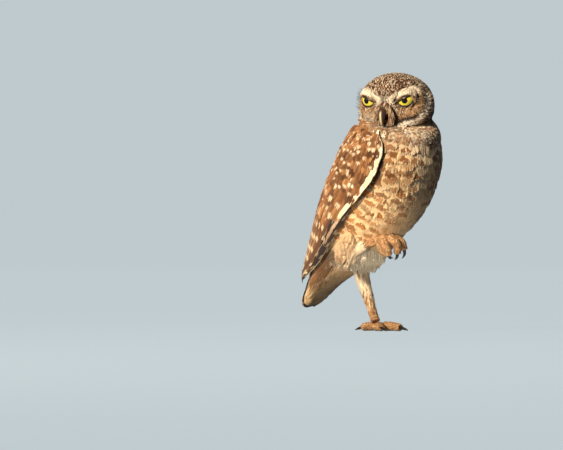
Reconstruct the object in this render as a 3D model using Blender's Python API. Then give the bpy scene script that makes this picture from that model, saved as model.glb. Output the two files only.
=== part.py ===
"""A burrowing owl, life size, standing on its left foot with the right foot drawn up to the belly.

The body faces -Y, the head is turned to the bird's right, +Z is up, and the origin lies on the floor
under the standing foot. Sizes are in millimetres, and each mesh is written in metres.

The body, the wings and the tail are all laid out on one smooth carrier, a stack of ellipses along the
spine. A place on it is t, the height along the spine, and an angle round it from the breast to the back.
"""

import math

import bmesh
import bpy
from mathutils import Matrix, Vector

MM = 0.001
GAP = 0.3
FLAT_ANGLE = 0.6

# The carrier: y and z of the spine, half width and half depth, from the tail's tip up to the neck.
SPINE = (
    (81.0, 17.0, 12.0, 6.0),
    (69.0, 34.0, 17.0, 12.0),
    (56.0, 51.0, 22.0, 16.5),
    (41.0, 69.0, 28.5, 24.0),
    (23.5, 89.0, 36.5, 33.0),
    (5.5, 109.5, 41.0, 39.5),
    (-9.0, 128.0, 43.0, 42.0),
    (-17.5, 146.0, 42.5, 41.0),
    (-22.0, 161.0, 39.0, 38.0),
    (-25.0, 174.0, 35.5, 36.0),
    (-26.5, 187.0, 32.5, 31.0),
)
MID_X = -1.0
T_TAIL_ROOT = 3.0
T_NECK_ROOT = 8.3
T_NECK_TOP = 8.8
# How the neck closes in under the head: size of each ring, then its rise under the face and at the nape.
NECK_ROUNDING = ((0.985, 1.0, 3.5), (0.945, 2.2, 7.5), (0.875, 3.4, 11.5), (0.77, 4.6, 15.0))

# The head, in its own axes: left is +X, forward is -Y, up is +Z.
HEAD_CENTRE = (MID_X, -21.5, 194.0)
HEAD_TURN = -74.0
HEAD_DROP = 12.0
HEAD_HALF_WIDTH = 33.5
HEAD_FRONT = 32.0
HEAD_BACK = 28.5
HEAD_UP = 26.5
HEAD_DOWN = 23.0
FACE_DEPTH = 25.5
CROWN_POWER = 2.0
CHEEK_POWER = 3.2
CROWN_LEAN = 0.06
# Hollows and ridges of the face: how deep or high, then how far they spread sideways and upwards.
EYE_HOLLOW = (1.8, 8.5, 8.5)
BILL_RIDGE = (2.2, 4.5, 9.0)
BROW_RIDGE = (2.8, 11.0, 4.2)
BROW_ASIDE = 12.0
BROW_START = 5.5
BROW_SLOPE = 0.5
HEAD_SIDES = 36
HEAD_RINGS = (4, 11, 18, 24.5, 31, 37, 43, 49, 55, 61, 67.5, 75, 84, 94, 105, 117, 130, 144, 159, 173)

EYE_RADIUS = 8.0
EYE_SIDE = 16.0
EYE_FORWARD = 15.8
EYE_HEIGHT = 6.0
EYE_TURN_OUT = 14.0
LID_THICK = 1.2
LID_REACH = 74.0
# Half the lids' opening in degrees, by the angle round the eye from its outer side. The upper lid is
# nearly straight and falls towards the bill.
LID_OPENING = ((0, 54), (18, 54), (36, 38), (54, 20), (90, 12), (144, 12), (162, 16), (180, 28),
               (198, 47), (225, 40), (270, 33), (315, 40), (342, 50), (360, 54))

PLUMAGE = (0.36, 0.22, 0.12)
CREAM = (0.75, 0.60, 0.42)
SKIN = (0.42, 0.28, 0.17)
HORN = (0.02, 0.018, 0.016)
BILL = (0.55, 0.50, 0.33)
IRIS = (0.85, 0.62, 0.05)


def smooth_row(rows, t):
    """The row at place t of a table, read as a smooth curve through its rows."""
    t = min(max(t, 0.0), len(rows) - 1.0)
    i = min(int(t), len(rows) - 2)
    f = t - i
    a, b, c, d = (rows[min(max(j, 0), len(rows) - 1)] for j in (i - 1, i, i + 1, i + 2))
    return [
        q + 0.5 * f * (r - p + f * (2 * p - 5 * q + 4 * r - s + f * (3 * (q - r) + s - p)))
        for p, q, r, s in zip(a, b, c, d)
    ]


def table_value(table, t):
    """A value between the pairs (place, value) of a table, eased from one to the next."""
    for (t0, v0), (t1, v1) in zip(table, table[1:]):
        if t <= t1 or (t1, v1) == table[-1]:
            f = min(max((t - t0) / (t1 - t0), 0.0), 1.0)
            return v0 + (v1 - v0) * f
    return table[-1][1]


def carrier_point(t, angle, lift=0.0, side=1):
    """A point on the carrier. Angle 0 is the breast, 90 the bird's side and 180 the back."""
    y, z, half_width, half_depth = smooth_row(SPINE, t)
    before, after = smooth_row(SPINE, t - 0.05), smooth_row(SPINE, t + 0.05)
    up = Vector((0, after[0] - before[0], after[1] - before[1])).normalized()
    front = Vector((1, 0, 0)).cross(up)
    a = math.radians(angle)
    sideways, forward = math.sin(a), math.cos(a)
    rim = Vector((side * half_width * sideways, 0, 0)) + front * (half_depth * forward)
    out = Vector((side * half_depth * sideways, 0, 0)) + front * (half_width * forward)
    return Vector((MID_X, y, z)) + rim + out.normalized() * lift


def new_material(name, colour, roughness=0.8):
    made = bpy.data.materials.new(name)
    made.use_nodes = True
    shader = made.node_tree.nodes["Principled BSDF"]
    shader.inputs["Base Color"].default_value = (*colour, 1)
    shader.inputs["Roughness"].default_value = roughness
    return made


def new_object(name, points, faces, material=None, collection=None):
    """One mesh object from points in millimetres. Its normals are made to face out."""
    mesh = bpy.data.meshes.new(name)
    mesh.from_pydata([tuple(c * MM for c in p) for p in points], [], faces)
    shape = bmesh.new()
    shape.from_mesh(mesh)
    bmesh.ops.recalc_face_normals(shape, faces=shape.faces)
    shape.to_mesh(mesh)
    shape.free()
    obj = bpy.data.objects.new(name, mesh)
    (collection or OWL).objects.link(obj)
    if material:
        mesh.materials.append(material)
        mesh.shade_smooth()
        mesh.set_sharp_from_angle(angle=math.radians(40))
    return obj


def loft(rings):
    """Points and faces of a closed body through rings of like count, with a fan on each end.

    Its sides are triangles, so that a body and its clearance are split alike and stay apart.
    """
    count = len(rings[0])
    points = [p for ring in rings for p in ring]
    faces = []
    for i in range(len(rings) - 1):
        for j in range(count):
            a, b = i * count + j, i * count + (j + 1) % count
            faces += [(a, b, b + count), (a, b + count, a + count)]
    for ring, first in ((rings[0], 0), (rings[-1], (len(rings) - 1) * count)):
        points.append(sum((Vector(p) for p in ring), Vector()) / count)
        hub = len(points) - 1
        faces += [(first + j, first + (j + 1) % count, hub) for j in range(count)]
    return points, faces


def stations(t_from, t_to, count):
    return [t_from + (t_to - t_from) * i / (count - 1) for i in range(count)]


TORSO_STATIONS = stations(T_TAIL_ROOT, T_NECK_ROOT, 17)
NECK_STATIONS = stations(T_NECK_ROOT + 0.025, T_NECK_TOP, 4)
BODY_SIDES = 28


def body_rings(places, lift=0.0):
    return [[carrier_point(t, 360 * j / BODY_SIDES, lift) for j in range(BODY_SIDES)] for t in places]


def body_clearance():
    """The carrier from the tail up to the neck, a gap larger all round."""
    return loft(body_rings([*stations(0.4, 2.8, 7), *TORSO_STATIONS, *NECK_STATIONS], GAP))


def tube_rings(path, radii, sides=10, flatten=1.0):
    """Rings square to a path, each turned as little as possible from the one before it.

    Flatten squeezes them along their own upward direction.
    """
    rings = []
    across = None
    for i, centre in enumerate(path):
        ahead = path[min(i + 1, len(path) - 1)] - path[max(i - 1, 0)]
        ahead = ahead.normalized()
        if across is None:
            guide = Vector((0, 0, 1)) if abs(ahead.z) < 0.9 else Vector((0, -1, 0))
            across = ahead.cross(guide)
        across = (across - ahead * across.dot(ahead)).normalized()
        upward = across.cross(ahead)
        rings.append([
            centre
            + across * (radii[i] * math.cos(2 * math.pi * j / sides))
            + upward * (radii[i] * flatten * math.sin(2 * math.pi * j / sides))
            for j in range(sides)
        ])
    return rings


def smooth_path(points, count):
    """Evenly numbered points on a smooth curve through a few."""
    last = len(points) - 1
    return [Vector(smooth_row(points, last * i / (count - 1))) for i in range(count)]


def smooth_radii(radii, count):
    last = len(radii) - 1
    return [smooth_row([(r,) for r in radii], last * i / (count - 1))[0] for i in range(count)]


def vane(spots, normals, widths, thick, roll=0.0):
    """A flat feather through spots, as points and faces with the same triangles on both faces.

    Roll, in degrees, lifts the edge that lies to the left of the way to its tip.
    """
    points = []
    turn, rise = math.cos(math.radians(roll)), math.sin(math.radians(roll))
    for i, spot in enumerate(spots):
        ahead = (spots[min(i + 1, len(spots) - 1)] - spots[max(i - 1, 0)]).normalized()
        flat = ahead.cross(normals[i]).normalized()
        across = (flat * turn + normals[i] * rise) * (widths[i] / 2)
        depth = (normals[i] * turn - flat * rise) * (thick / 2)
        points += [spot - across + depth, spot + across + depth]
        points += [spot + across - depth, spot - across - depth]
    faces = []
    for i in range(len(spots) - 1):
        a, b, c, d = range(4 * i, 4 * i + 4)
        faces += [(a, b, b + 4), (a, b + 4, a + 4), (c, d, c + 4), (d, d + 4, c + 4)]
        faces += [(b, c, c + 4), (b, c + 4, b + 4), (d, a, a + 4), (d, a + 4, d + 4)]
    end = 4 * (len(spots) - 1)
    faces += [(0, 1, 2), (0, 2, 3), (end, end + 1, end + 2), (end, end + 2, end + 3)]
    return points, faces


def apply_modifiers(obj):
    """The object's mesh becomes what its modifiers make."""
    graph = bpy.context.evaluated_depsgraph_get()
    made = bpy.data.meshes.new_from_object(obj.evaluated_get(graph))
    obj.modifiers.clear()
    obj.data = made
    return obj


def fuse(obj, pieces):
    """Joins loose closed pieces to obj by one union, and removes them."""
    group = bpy.data.collections.new("pieces_of_" + obj.name)
    bpy.context.scene.collection.children.link(group)
    for points, faces in pieces:
        new_object("piece", points, faces, collection=group)
    union = obj.modifiers.new("union", "BOOLEAN")
    union.operation = "UNION"
    union.operand_type = "COLLECTION"
    union.collection = group
    union.solver = "EXACT"
    apply_modifiers(obj)
    for piece in list(group.objects):
        bpy.data.objects.remove(piece)
    bpy.data.collections.remove(group)
    return obj


def cut(obj, points, faces):
    """Takes one closed shape out of obj."""
    cutter = new_object("cutter_of_" + obj.name, points, faces, collection=CUTTERS)
    less = obj.modifiers.new("cut", "BOOLEAN")
    less.operation = "DIFFERENCE"
    less.object = cutter
    less.solver = "EXACT"
    apply_modifiers(obj)
    bpy.data.objects.remove(cutter)
    return obj


def keep_largest(obj):
    """Drops any closed scrap that a cut left loose, or a hollow that a union sealed."""
    shape = bmesh.new()
    shape.from_mesh(obj.data)
    flat = math.radians(FLAT_ANGLE)
    bmesh.ops.dissolve_limit(shape, angle_limit=flat, verts=shape.verts, edges=shape.edges)
    bmesh.ops.triangulate(shape, faces=shape.faces)
    left, groups = set(shape.faces), []
    while left:
        group, edge = set(), [left.pop()]
        while edge:
            face = edge.pop()
            group.add(face)
            for link in face.edges:
                for other in link.link_faces:
                    if other in left:
                        left.remove(other)
                        edge.append(other)
        groups.append(group)
    groups.sort(key=len)
    for group in groups[:-1]:
        bmesh.ops.delete(shape, geom=list(group), context="FACES")
    loose = [v for v in shape.verts if not v.link_faces]
    bmesh.ops.delete(shape, geom=loose, context="VERTS")
    shape.to_mesh(obj.data)
    shape.free()
    return obj


def sphere_points(radius, centre, rings=10, around=16, axes=None):
    """A closed ball as a loft, its poles along the local Y axis."""
    axes = axes or Matrix.Identity(3)
    made = []
    for i in range(1, rings):
        a = math.pi * i / rings
        made.append([
            Vector(centre) + axes @ Vector((
                radius * math.sin(a) * math.cos(2 * math.pi * j / around),
                -radius * math.cos(a),
                radius * math.sin(a) * math.sin(2 * math.pi * j / around),
            ))
            for j in range(around)
        ])
    points, faces = loft(made)
    points[-2] = Vector(centre) + axes @ Vector((0, -radius, 0))
    points[-1] = Vector(centre) + axes @ Vector((0, radius, 0))
    return points, faces


# The body

def build_torso():
    new_object("torso", *loft(body_rings(TORSO_STATIONS)), M_CREAM)


def build_neck():
    rings = body_rings(NECK_STATIONS)
    top = rings[-1]
    centre = sum(top, Vector()) / len(top)
    nape = head_axes() @ Vector((0, 1, 0))
    for shrink, low, high in NECK_ROUNDING:
        ring = []
        for p in top:
            behind = (1 + (p - centre).normalized().dot(nape)) / 2
            ring.append(centre + (p - centre) * shrink + Vector((0, 0, low + (high - low) * behind)))
        rings.append(ring)
    points, faces = loft(rings)
    neck = new_object("neck", points, faces, M_PLUMAGE)
    for shape in (head_surface(GAP), upper_bill(GAP), lower_bill(GAP)):
        cut(neck, *shape)
    keep_largest(neck)


# The head

def head_axes():
    turn = Matrix.Rotation(math.radians(HEAD_TURN), 3, "Z")
    return turn @ Matrix.Rotation(math.radians(HEAD_DROP), 3, "X")


def from_head(p):
    return Vector(HEAD_CENTRE) + head_axes() @ Vector(p)


def bump(value, middle, spread):
    return math.exp(-(((value - middle) / spread) ** 2))


def swelling(size, side, side_middle, rise, rise_middle):
    """How much a hollow or ridge of the face adds at a place of it."""
    height, side_spread, rise_spread = size
    return height * bump(side, side_middle, side_spread) * bump(rise, rise_middle, rise_spread)


def head_point(direction, lift=0.0):
    """A point of the head's surface in its own axes, in the direction of a unit vector."""
    x, y, z = direction
    length = HEAD_FRONT if y < 0 else HEAD_BACK
    height = HEAD_UP if z > 0 else HEAD_DOWN
    power = CROWN_POWER if z > 0 else CHEEK_POWER
    level = math.hypot(x / HEAD_HALF_WIDTH, y / length)
    reach = (level**power + abs(z / height) ** power) ** (-1 / power)
    p = Vector(direction) * reach
    forward = -p.y
    if forward > 0:
        over = forward / FACE_DEPTH
        forward = FACE_DEPTH * over / (1 + over**10) ** 0.1
        near = min(1.0, forward / 20.0) ** 2
        side = abs(p.x)
        hollow = swelling(EYE_HOLLOW, side, EYE_SIDE, p.z, EYE_HEIGHT)
        ridge = swelling(BILL_RIDGE, side, 0, p.z, 1.0)
        brow = swelling(BROW_RIDGE, side, BROW_ASIDE, p.z, BROW_START + BROW_SLOPE * side)
        forward += near * (ridge + brow - hollow)
        p.y = -forward
    p.x -= CROWN_LEAN * max(0.0, p.z)
    return p + p.normalized() * lift


def head_surface(lift=0.0):
    """The head's closed skin as points and faces in the model's axes, finest round the face."""
    rings = []
    for away in HEAD_RINGS:
        a = math.radians(away)
        ring = []
        for j in range(HEAD_SIDES):
            b = 2 * math.pi * j / HEAD_SIDES
            spot = Vector((math.sin(a) * math.cos(b), -math.cos(a), math.sin(a) * math.sin(b)))
            ring.append(from_head(head_point(spot, lift)))
        rings.append(ring)
    return loft(rings)


def eye_axes(side):
    return head_axes() @ Matrix.Rotation(math.radians(side * EYE_TURN_OUT), 3, "Z")


def eye_centre(side):
    return from_head((side * EYE_SIDE, -EYE_FORWARD, EYE_HEIGHT))


def lid_ring(side, count=20):
    """Both lids of one eye, as a ring on the ball with a raised edge."""
    rings = []
    low, high = EYE_RADIUS - GAP, EYE_RADIUS + LID_THICK
    for inside, radius in ((True, low), (True, high), (False, high), (False, low)):
        ring = []
        for j in range(count):
            angle = 360 * j / count
            reach = math.radians(table_value(LID_OPENING, angle) if inside else LID_REACH)
            a = math.radians(angle)
            ring.append(eye_centre(side) + eye_axes(side) @ Vector((
                side * radius * math.sin(reach) * math.cos(a),
                -radius * math.cos(reach),
                radius * math.sin(reach) * math.sin(a),
            )))
        rings.append(ring)
    points = [p for ring in rings for p in ring]
    faces = []
    for i in range(4):
        for j in range(count):
            k = (j + 1) % count
            faces.append((i * count + j, i * count + k, (i + 1) % 4 * count + k,
                          (i + 1) % 4 * count + j))
    return points, faces


def build_head():
    head = new_object("head", *head_surface(), M_PLUMAGE)
    fuse(head, [lid_ring(1), lid_ring(-1)])
    for side in (1, -1):
        cut(head, *sphere_points(EYE_RADIUS + GAP, eye_centre(side), axes=eye_axes(side)))
    cut(head, *upper_bill(GAP))
    cut(head, *lower_bill(GAP))
    keep_largest(head)


def build_eye(side, name):
    new_object(name, *sphere_points(EYE_RADIUS, eye_centre(side), axes=eye_axes(side)), M_EYE)


# The bill: y and z of the culmen line, half width and half depth, in the head's axes.
UPPER_BILL = (
    (-21.0, -2.2, 4.8, 5.2),
    (-27.0, -1.6, 5.0, 5.6),
    (-31.0, -3.0, 4.4, 4.6),
    (-33.2, -6.6, 3.2, 3.2),
    (-33.9, -10.8, 1.9, 1.9),
    (-33.2, -14.2, 0.5, 0.5),
)
LOWER_BILL = (
    (-21.0, -8.8, 3.6, 1.4),
    (-26.0, -9.0, 3.6, 1.5),
    (-29.5, -9.9, 2.6, 1.3),
    (-31.4, -10.9, 1.2, 0.7),
)
NOSTRIL_RADIUS = 0.9
NOSTRIL_SPOT = (4.7, -29.5, -0.6)
UPPER_RINGS = 11
LOWER_RINGS = 6
UPPER_AROUND = 12
LOWER_AROUND = 10


def bill_rings(rows, count, around, lift=0.0):
    rings = []
    for i in range(count):
        t = (len(rows) - 1) * i / (count - 1)
        y, z, wide, deep = smooth_row(rows, t)
        before, after = smooth_row(rows, t - 0.1), smooth_row(rows, t + 0.1)
        ahead = Vector((0, after[0] - before[0], after[1] - before[1])).normalized()
        up = ahead.cross(Vector((1, 0, 0)))
        rings.append([
            from_head(
                Vector((0, y, z))
                + Vector((1, 0, 0)) * ((wide + lift) * math.cos(2 * math.pi * j / around))
                + up * ((deep + lift) * math.sin(2 * math.pi * j / around))
            )
            for j in range(around)
        ])
    return rings


def upper_bill(lift=0.0):
    return loft(bill_rings(UPPER_BILL, UPPER_RINGS, UPPER_AROUND, lift))


def lower_bill(lift=0.0):
    return loft(bill_rings(LOWER_BILL, LOWER_RINGS, LOWER_AROUND, lift))


def build_bill():
    upper = new_object("bill_upper", *upper_bill(), M_BILL)
    lower = new_object("bill_lower", *lower_bill(), M_BILL)
    cut(lower, *upper_bill(GAP))
    x, y, z = NOSTRIL_SPOT
    for side in (1, -1):
        cut(upper, *sphere_points(NOSTRIL_RADIUS, from_head((side * x, y, z)), 6, 8))
    keep_largest(upper)
    keep_largest(lower)


# The wings. Their lower and upper edges are angles round the carrier at places t.
WING_LOW = ((0.8, 158), (1.2, 122), (1.7, 94), (2.5, 81), (3.9, 80), (4.8, 79), (5.6, 74),
            (6.5, 68), (7.4, 66), (8.0, 68), (8.5, 78))
WING_HIGH = ((0.8, 172), (1.7, 172), (3.9, 172), (6.5, 171), (7.4, 166), (8.0, 152), (8.5, 118))
WING_STAND_OFF = ((0.8, 0.4), (2.8, 2.6), (4.8, 3.4), (6.5, 2.2), (8.5, 0.0))
CORE_THICK = ((3.5, 0.7), (4.5, 1.9), (6.5, 2.9), (7.6, 2.2), (8.4, 0.9))
T_CORE_END = 3.5
T_WING_TOP = 8.4

# The tiers of feathers: how many, then (t, across) of the first and last root and of the first and last
# tip, the first and last height of the tip, and the first and last width. The first is the lowest.
WING_TIERS = (
    (6, (5.2, 0.0), (4.6, 0.38), (0.85, 0.31), (1.7, 0.42), (0.7, 1.0), (8.5, 8.5)),
    (6, (4.9, 0.20), (4.5, 0.90), (1.45, 0.42), (1.85, 0.88), (1.5, 0.9), (12.0, 13.0)),
    (6, (6.0, 0.10), (5.6, 0.89), (3.75, 0.08), (3.35, 0.88), (3.3, 2.7), (13.5, 13.0)),
    (6, (6.9, 0.10), (6.6, 0.88), (5.0, 0.07), (4.7, 0.88), (4.7, 4.1), (13.5, 13.0)),
    (5, (7.6, 0.12), (7.4, 0.86), (6.0, 0.08), (5.8, 0.87), (5.3, 4.7), (14.5, 14.0)),
    (4, (8.15, 0.16), (8.1, 0.80), (6.95, 0.12), (6.9, 0.84), (4.6, 4.2), (14.5, 14.0)),
)
VANE_STATIONS = (0.0, 0.4, 0.8, 1.0)
VANE_WIDTHS = (0.5, 0.95, 0.95, 0.3)
# The lowest tier keeps to the wing's edge before it turns in: how late, for its first and last feather.
EDGE_STATIONS = (0.0, 0.35, 0.65, 0.87, 1.0)
EDGE_WIDTHS = (0.5, 0.85, 1.0, 0.8, 0.3)
EDGE_BEND = (3.2, 1.0)
VANE_THICK = 0.6
VANE_APART = 0.35
ROOT_DEPTH = 0.9
MOST_ROLL = 16.0


def wing_point(t, across, lift):
    """A point over the left wing's region: across is 0 at its lower edge and 1 at its upper edge."""
    low, high = table_value(WING_LOW, t), table_value(WING_HIGH, t)
    stand_off = table_value(WING_STAND_OFF, t) * (1 - across) ** 1.5
    return carrier_point(t, low + (high - low) * across, lift + stand_off)


def core_height(t, across):
    swell = 0.35 + 0.65 * math.sqrt(max(0.0, 1 - (2 * across - 1) ** 4))
    return 0.6 + table_value(CORE_THICK, t) * swell


def wing_core(along=12, across=7):
    """The left wing's arm and hand, a thin cushion over the body that the feathers grow from."""
    upper, under = [], []
    for t in stations(T_WING_TOP, T_CORE_END, along):
        for v in stations(0.0, 1.0, across):
            upper.append(wing_point(t, v, core_height(t, v)))
            under.append(wing_point(t, v, -1.0 if t > 6.0 else 0.4))
    points = upper + under
    n = len(upper)
    faces = []
    for i in range(along - 1):
        for j in range(across - 1):
            a = i * across + j
            quad = (a, a + 1, a + 1 + across, a + across)
            faces += [quad, tuple(n + k for k in quad)]
    rim = list(range(across))
    rim += [i * across + across - 1 for i in range(1, along)]
    rim += [(along - 1) * across + j for j in range(across - 2, -1, -1)]
    rim += [i * across for i in range(along - 2, 0, -1)]
    for a, b in zip(rim, rim[1:] + rim[:1]):
        faces.append((a, b, n + b, n + a))
    return points, faces


def mix(a, b, f):
    return a + (b - a) * f


def wing_vane(root, tip, height, width, roll, bend):
    spots, normals = [], []
    stops, widths = (EDGE_STATIONS, EDGE_WIDTHS) if bend else (VANE_STATIONS, VANE_WIDTHS)
    for s in stops:
        t, v = mix(root[0], tip[0], s), mix(root[1], tip[1], s ** (bend or 1.0))
        lift = mix(core_height(*root) - ROOT_DEPTH, height, s**0.8)
        spots.append(wing_point(t, v, lift))
        normals.append((wing_point(t, v, lift + 1) - spots[-1]).normalized())
    return vane(spots, normals, [width * w for w in widths], VANE_THICK, roll)


def wing_vanes():
    """The left wing's feathers, each tilted so that the next one up lies over its upper edge."""
    made = []
    for tier, (count, root_a, root_b, tip_a, tip_b, heights, widths) in enumerate(WING_TIERS):
        far, near = (wing_point(*tip, 2.0) for tip in (tip_a, tip_b))
        spacing = (far - near).length / (count - 1)
        roll = math.degrees(math.atan((VANE_THICK + VANE_APART) / spacing))
        for i in range(count):
            f = i / (count - 1)
            root = [mix(a, b, f) for a, b in zip(root_a, root_b)]
            tip = [mix(a, b, f) for a, b in zip(tip_a, tip_b)]
            lean = min(roll, MOST_ROLL) * (1 - 0.8 * f**4)
            bend = 0.0 if tier else mix(*EDGE_BEND, f**0.6)
            made.append(wing_vane(root, tip, mix(*heights, f), mix(*widths, f), lean, bend))
    return made


def mirrored(points, faces):
    """The right wing's points for the left wing's."""
    return [Vector((2 * MID_X - p.x, p.y, p.z)) for p in points], faces


def build_wing(side, name):
    place = mirrored if side < 0 else lambda points, faces: (points, faces)
    wing = new_object(name, *place(*wing_core()), M_PLUMAGE)
    fuse(wing, [place(*feather) for feather in wing_vanes()])
    cut(wing, *body_clearance())
    keep_largest(wing)


# The tail's fleshy root with its coverts, down to the tip of the under coverts: place, half width, and how
# far it reaches behind and before the spine.
TAIL_FORM = (
    (2.98, 28.2, 23.7, 23.7),
    (2.4, 25.0, 18.6, 19.3),
    (1.9, 21.0, 14.2, 14.8),
    (1.5, 18.0, 10.0, 11.8),
    (1.0, 14.5, 4.8, 8.6),
    (0.6, 11.0, 1.6, 5.8),
    (0.3, 7.0, -0.6, 3.4),
)
TAIL_SIDES = 20
# The middle feathers' height behind the spine, from their tips to their roots.
TAIL_LAY = ((0.08, 3.4), (0.5, 6.4), (1.0, 9.4), (1.6, 12.4), (2.3, 15.0))
T_TAIL_TIP = 0.08
T_FEATHER_ROOT = 2.3
TAIL_FEATHERS = 12
TAIL_STEP = 0.88
TAIL_THICK = 0.55
TAIL_FEATHER_WIDTH = 10.0
TAIL_ROOT_FAN = 0.9
TAIL_TIP_FAN = 1.35
TAIL_STATIONS = (0.0, 0.3, 0.6, 0.85, 0.95, 1.0)
TAIL_WIDTHS = (0.5, 0.8, 0.95, 1.0, 0.8, 0.4)


def back_direction(t):
    return (carrier_point(t, 180) - carrier_point(t, 0)).normalized()


def tail_vane(number):
    """One tail feather. Numbers 0 and 1 are the middle pair on top, and the outer ones lie under them."""
    pair, side = number // 2, 1 if number % 2 else -1
    layer = pair + (1 if number else 0)
    spots, normals = [], []
    for s in TAIL_STATIONS:
        t = mix(T_FEATHER_ROOT, T_TAIL_TIP + 0.05 * pair, s)
        y, z = smooth_row(SPINE, t)[:2]
        back = back_direction(t)
        aside = 1.0 + pair * mix(TAIL_ROOT_FAN, TAIL_TIP_FAN, s)
        lay = table_value(TAIL_LAY, t) - TAIL_STEP * layer
        spots.append(Vector((MID_X + side * aside, y, z)) + back * lay)
        normals.append(back)
    return vane(spots, normals, [w * TAIL_FEATHER_WIDTH for w in TAIL_WIDTHS], TAIL_THICK)


def build_tail():
    rings = []
    for t, half_width, behind, before in TAIL_FORM:
        y, z = smooth_row(SPINE, t)[:2]
        back = back_direction(t)
        centre = Vector((MID_X, y, z)) + back * ((behind - before) / 2)
        ring = []
        for j in range(TAIL_SIDES):
            a = 2 * math.pi * j / TAIL_SIDES
            deep = (behind + before) / 2 * math.sin(a)
            ring.append(centre + Vector((half_width * math.cos(a), 0, 0)) + back * deep)
        rings.append(ring)
    tail = new_object("tail", *loft(rings), M_PLUMAGE)
    fuse(tail, [tail_vane(number) for number in range(TAIL_FEATHERS)])
    keep_largest(tail)


# The legs. The left one stands and the right one is drawn up against the belly.
STAND_HOCK = (6.0, 26.0, 50.0)
STAND_ANKLE = (0.5, 4.5, 8.0)
RAISED_HOCK = (-26.0, 20.5, 63.0)
RAISED_ANKLE = (-17.5, -18.0, 79.0)
STAND_THIGH = ((8.0, -6.0, 92.0), (9.0, 8.0, 76.0), (8.0, 20.0, 61.0), STAND_HOCK)
RAISED_THIGH = ((-20.0, 4.0, 92.0), (-22.5, 11.0, 78.0), RAISED_HOCK)
THIGH_RADII = (12.0, 12.5, 9.0, 4.8)
RAISED_THIGH_RADII = (10.0, 10.0, 6.0)
TARSUS_RADII = (5.2, 4.6, 4.1, 3.7, 4.2)
PAD_RADIUS = 6.5
PAD_HEIGHT = 7.0
RAISED_PAD_RADIUS = 5.7
RAISED_PAD_HEIGHT = 8.0
PAD_CROWN = 0.12
PAD_RINGS = 7
PAD_AROUND = 14

# Toes: the path of each from the pad, its first and last radius, and the length and droop of its claw.
STAND_TOES = (
    ("1", ((0.5, 6.0, 4.0), (0.0, 12.5, 3.9), (-0.5, 18.0, 2.9)), (4.2, 3.4), (-1.5, 26.0, 0.6)),
    ("2", ((-4.5, -4.5, 4.0), (-9.5, -9.0, 3.9), (-13.0, -14.0, 2.9)), (4.2, 3.4),
     (-16.0, -22.0, 0.6)),
    ("3", ((0.5, -5.5, 4.1), (1.0, -15.0, 4.0), (1.0, -23.5, 2.9)), (4.3, 3.4), (0.5, -32.0, 0.6)),
    ("4", ((5.5, -1.0, 3.9), (13.0, -4.0, 3.8), (19.0, -6.5, 2.9)), (4.1, 3.3), (26.5, -9.5, 0.6)),
)
RAISED_TOES = (
    ("1", ((-17.0, -16.5, 74.5), (-15.0, -16.5, 68.5), (-12.0, -20.0, 64.5)), (3.8, 3.1),
     (-9.0, -24.0, 62.0)),
    ("2", ((-12.5, -22.5, 79.0), (-7.0, -30.5, 76.5), (-5.5, -33.0, 69.0)), (4.2, 3.3),
     (-4.5, -29.5, 61.5)),
    ("3", ((-17.0, -26.0, 79.0), (-15.0, -33.0, 74.5), (-13.0, -32.0, 66.0)), (4.4, 3.4),
     (-11.0, -27.0, 60.5)),
    ("4", ((-21.5, -22.5, 77.0), (-23.0, -28.0, 71.5), (-20.0, -28.5, 64.5)), (4.3, 3.3),
     (-13.0, -26.0, 62.5)),
)
RAISED_KNUCKLES = (-17.0, -21.0, 78.5)
CLAW_RADII = (1.5, 1.3, 0.8, 0.15)
CLAW_BEND = 0.55


def above_floor(rings):
    """The same rings with whatever dips under the floor pressed flat onto it."""
    return [[Vector((p.x, p.y, max(p.z, 0.0))) for p in ring] for ring in rings]


def claw_path(spots, tip):
    """A claw's curve from a toe's end: onward first, then bent over to its tip."""
    end, back, tip = Vector(spots[-1]), Vector(spots[-2]), Vector(tip)
    bend = end + (end - back).normalized() * (CLAW_BEND * (tip - end).length)
    return [end * (1 - s) ** 2 + bend * (2 * s * (1 - s)) + tip * s**2 for s in (0, 0.35, 0.7, 1)]


def build_toe(side_word, toe, neighbours, raised):
    """One toe and its claw, cut clear of the pad, the tarsus and the toes made before it."""
    number, spots, radii, claw_tip = toe
    path = smooth_path([Vector(p) for p in spots], 6)
    rings = tube_rings(path, smooth_radii(radii, 6), 8)
    if not raised:
        rings = above_floor(rings)
    shape = new_object(f"toe_{side_word}_{number}", *loft(rings), M_SKIN)
    for other in neighbours:
        cut(shape, *loft(grown(other, GAP)))
    keep_largest(shape)
    claw = smooth_path(claw_path(spots, claw_tip), 6)
    claw_rings = tube_rings(claw, smooth_radii(CLAW_RADII, 6), 6)
    nail = new_object(f"claw_{side_word}_{number}", *loft(above_floor(claw_rings)), M_HORN)
    for other in [rings, *neighbours]:
        cut(nail, *loft(grown(other, GAP)))
    keep_largest(nail)
    return rings


def grown(rings, by):
    """The same rings a little larger, with the end rings moved outwards."""
    made = []
    for ring in rings:
        centre = sum(ring, Vector()) / len(ring)
        made.append([p + (p - centre).normalized() * by for p in ring])
    for end, inner in ((0, 1), (-1, -2)):
        a = sum(rings[end], Vector()) / len(rings[end])
        b = sum(rings[inner], Vector()) / len(rings[inner])
        made[end] = [p + (a - b).normalized() * by for p in made[end]]
    return made


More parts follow.
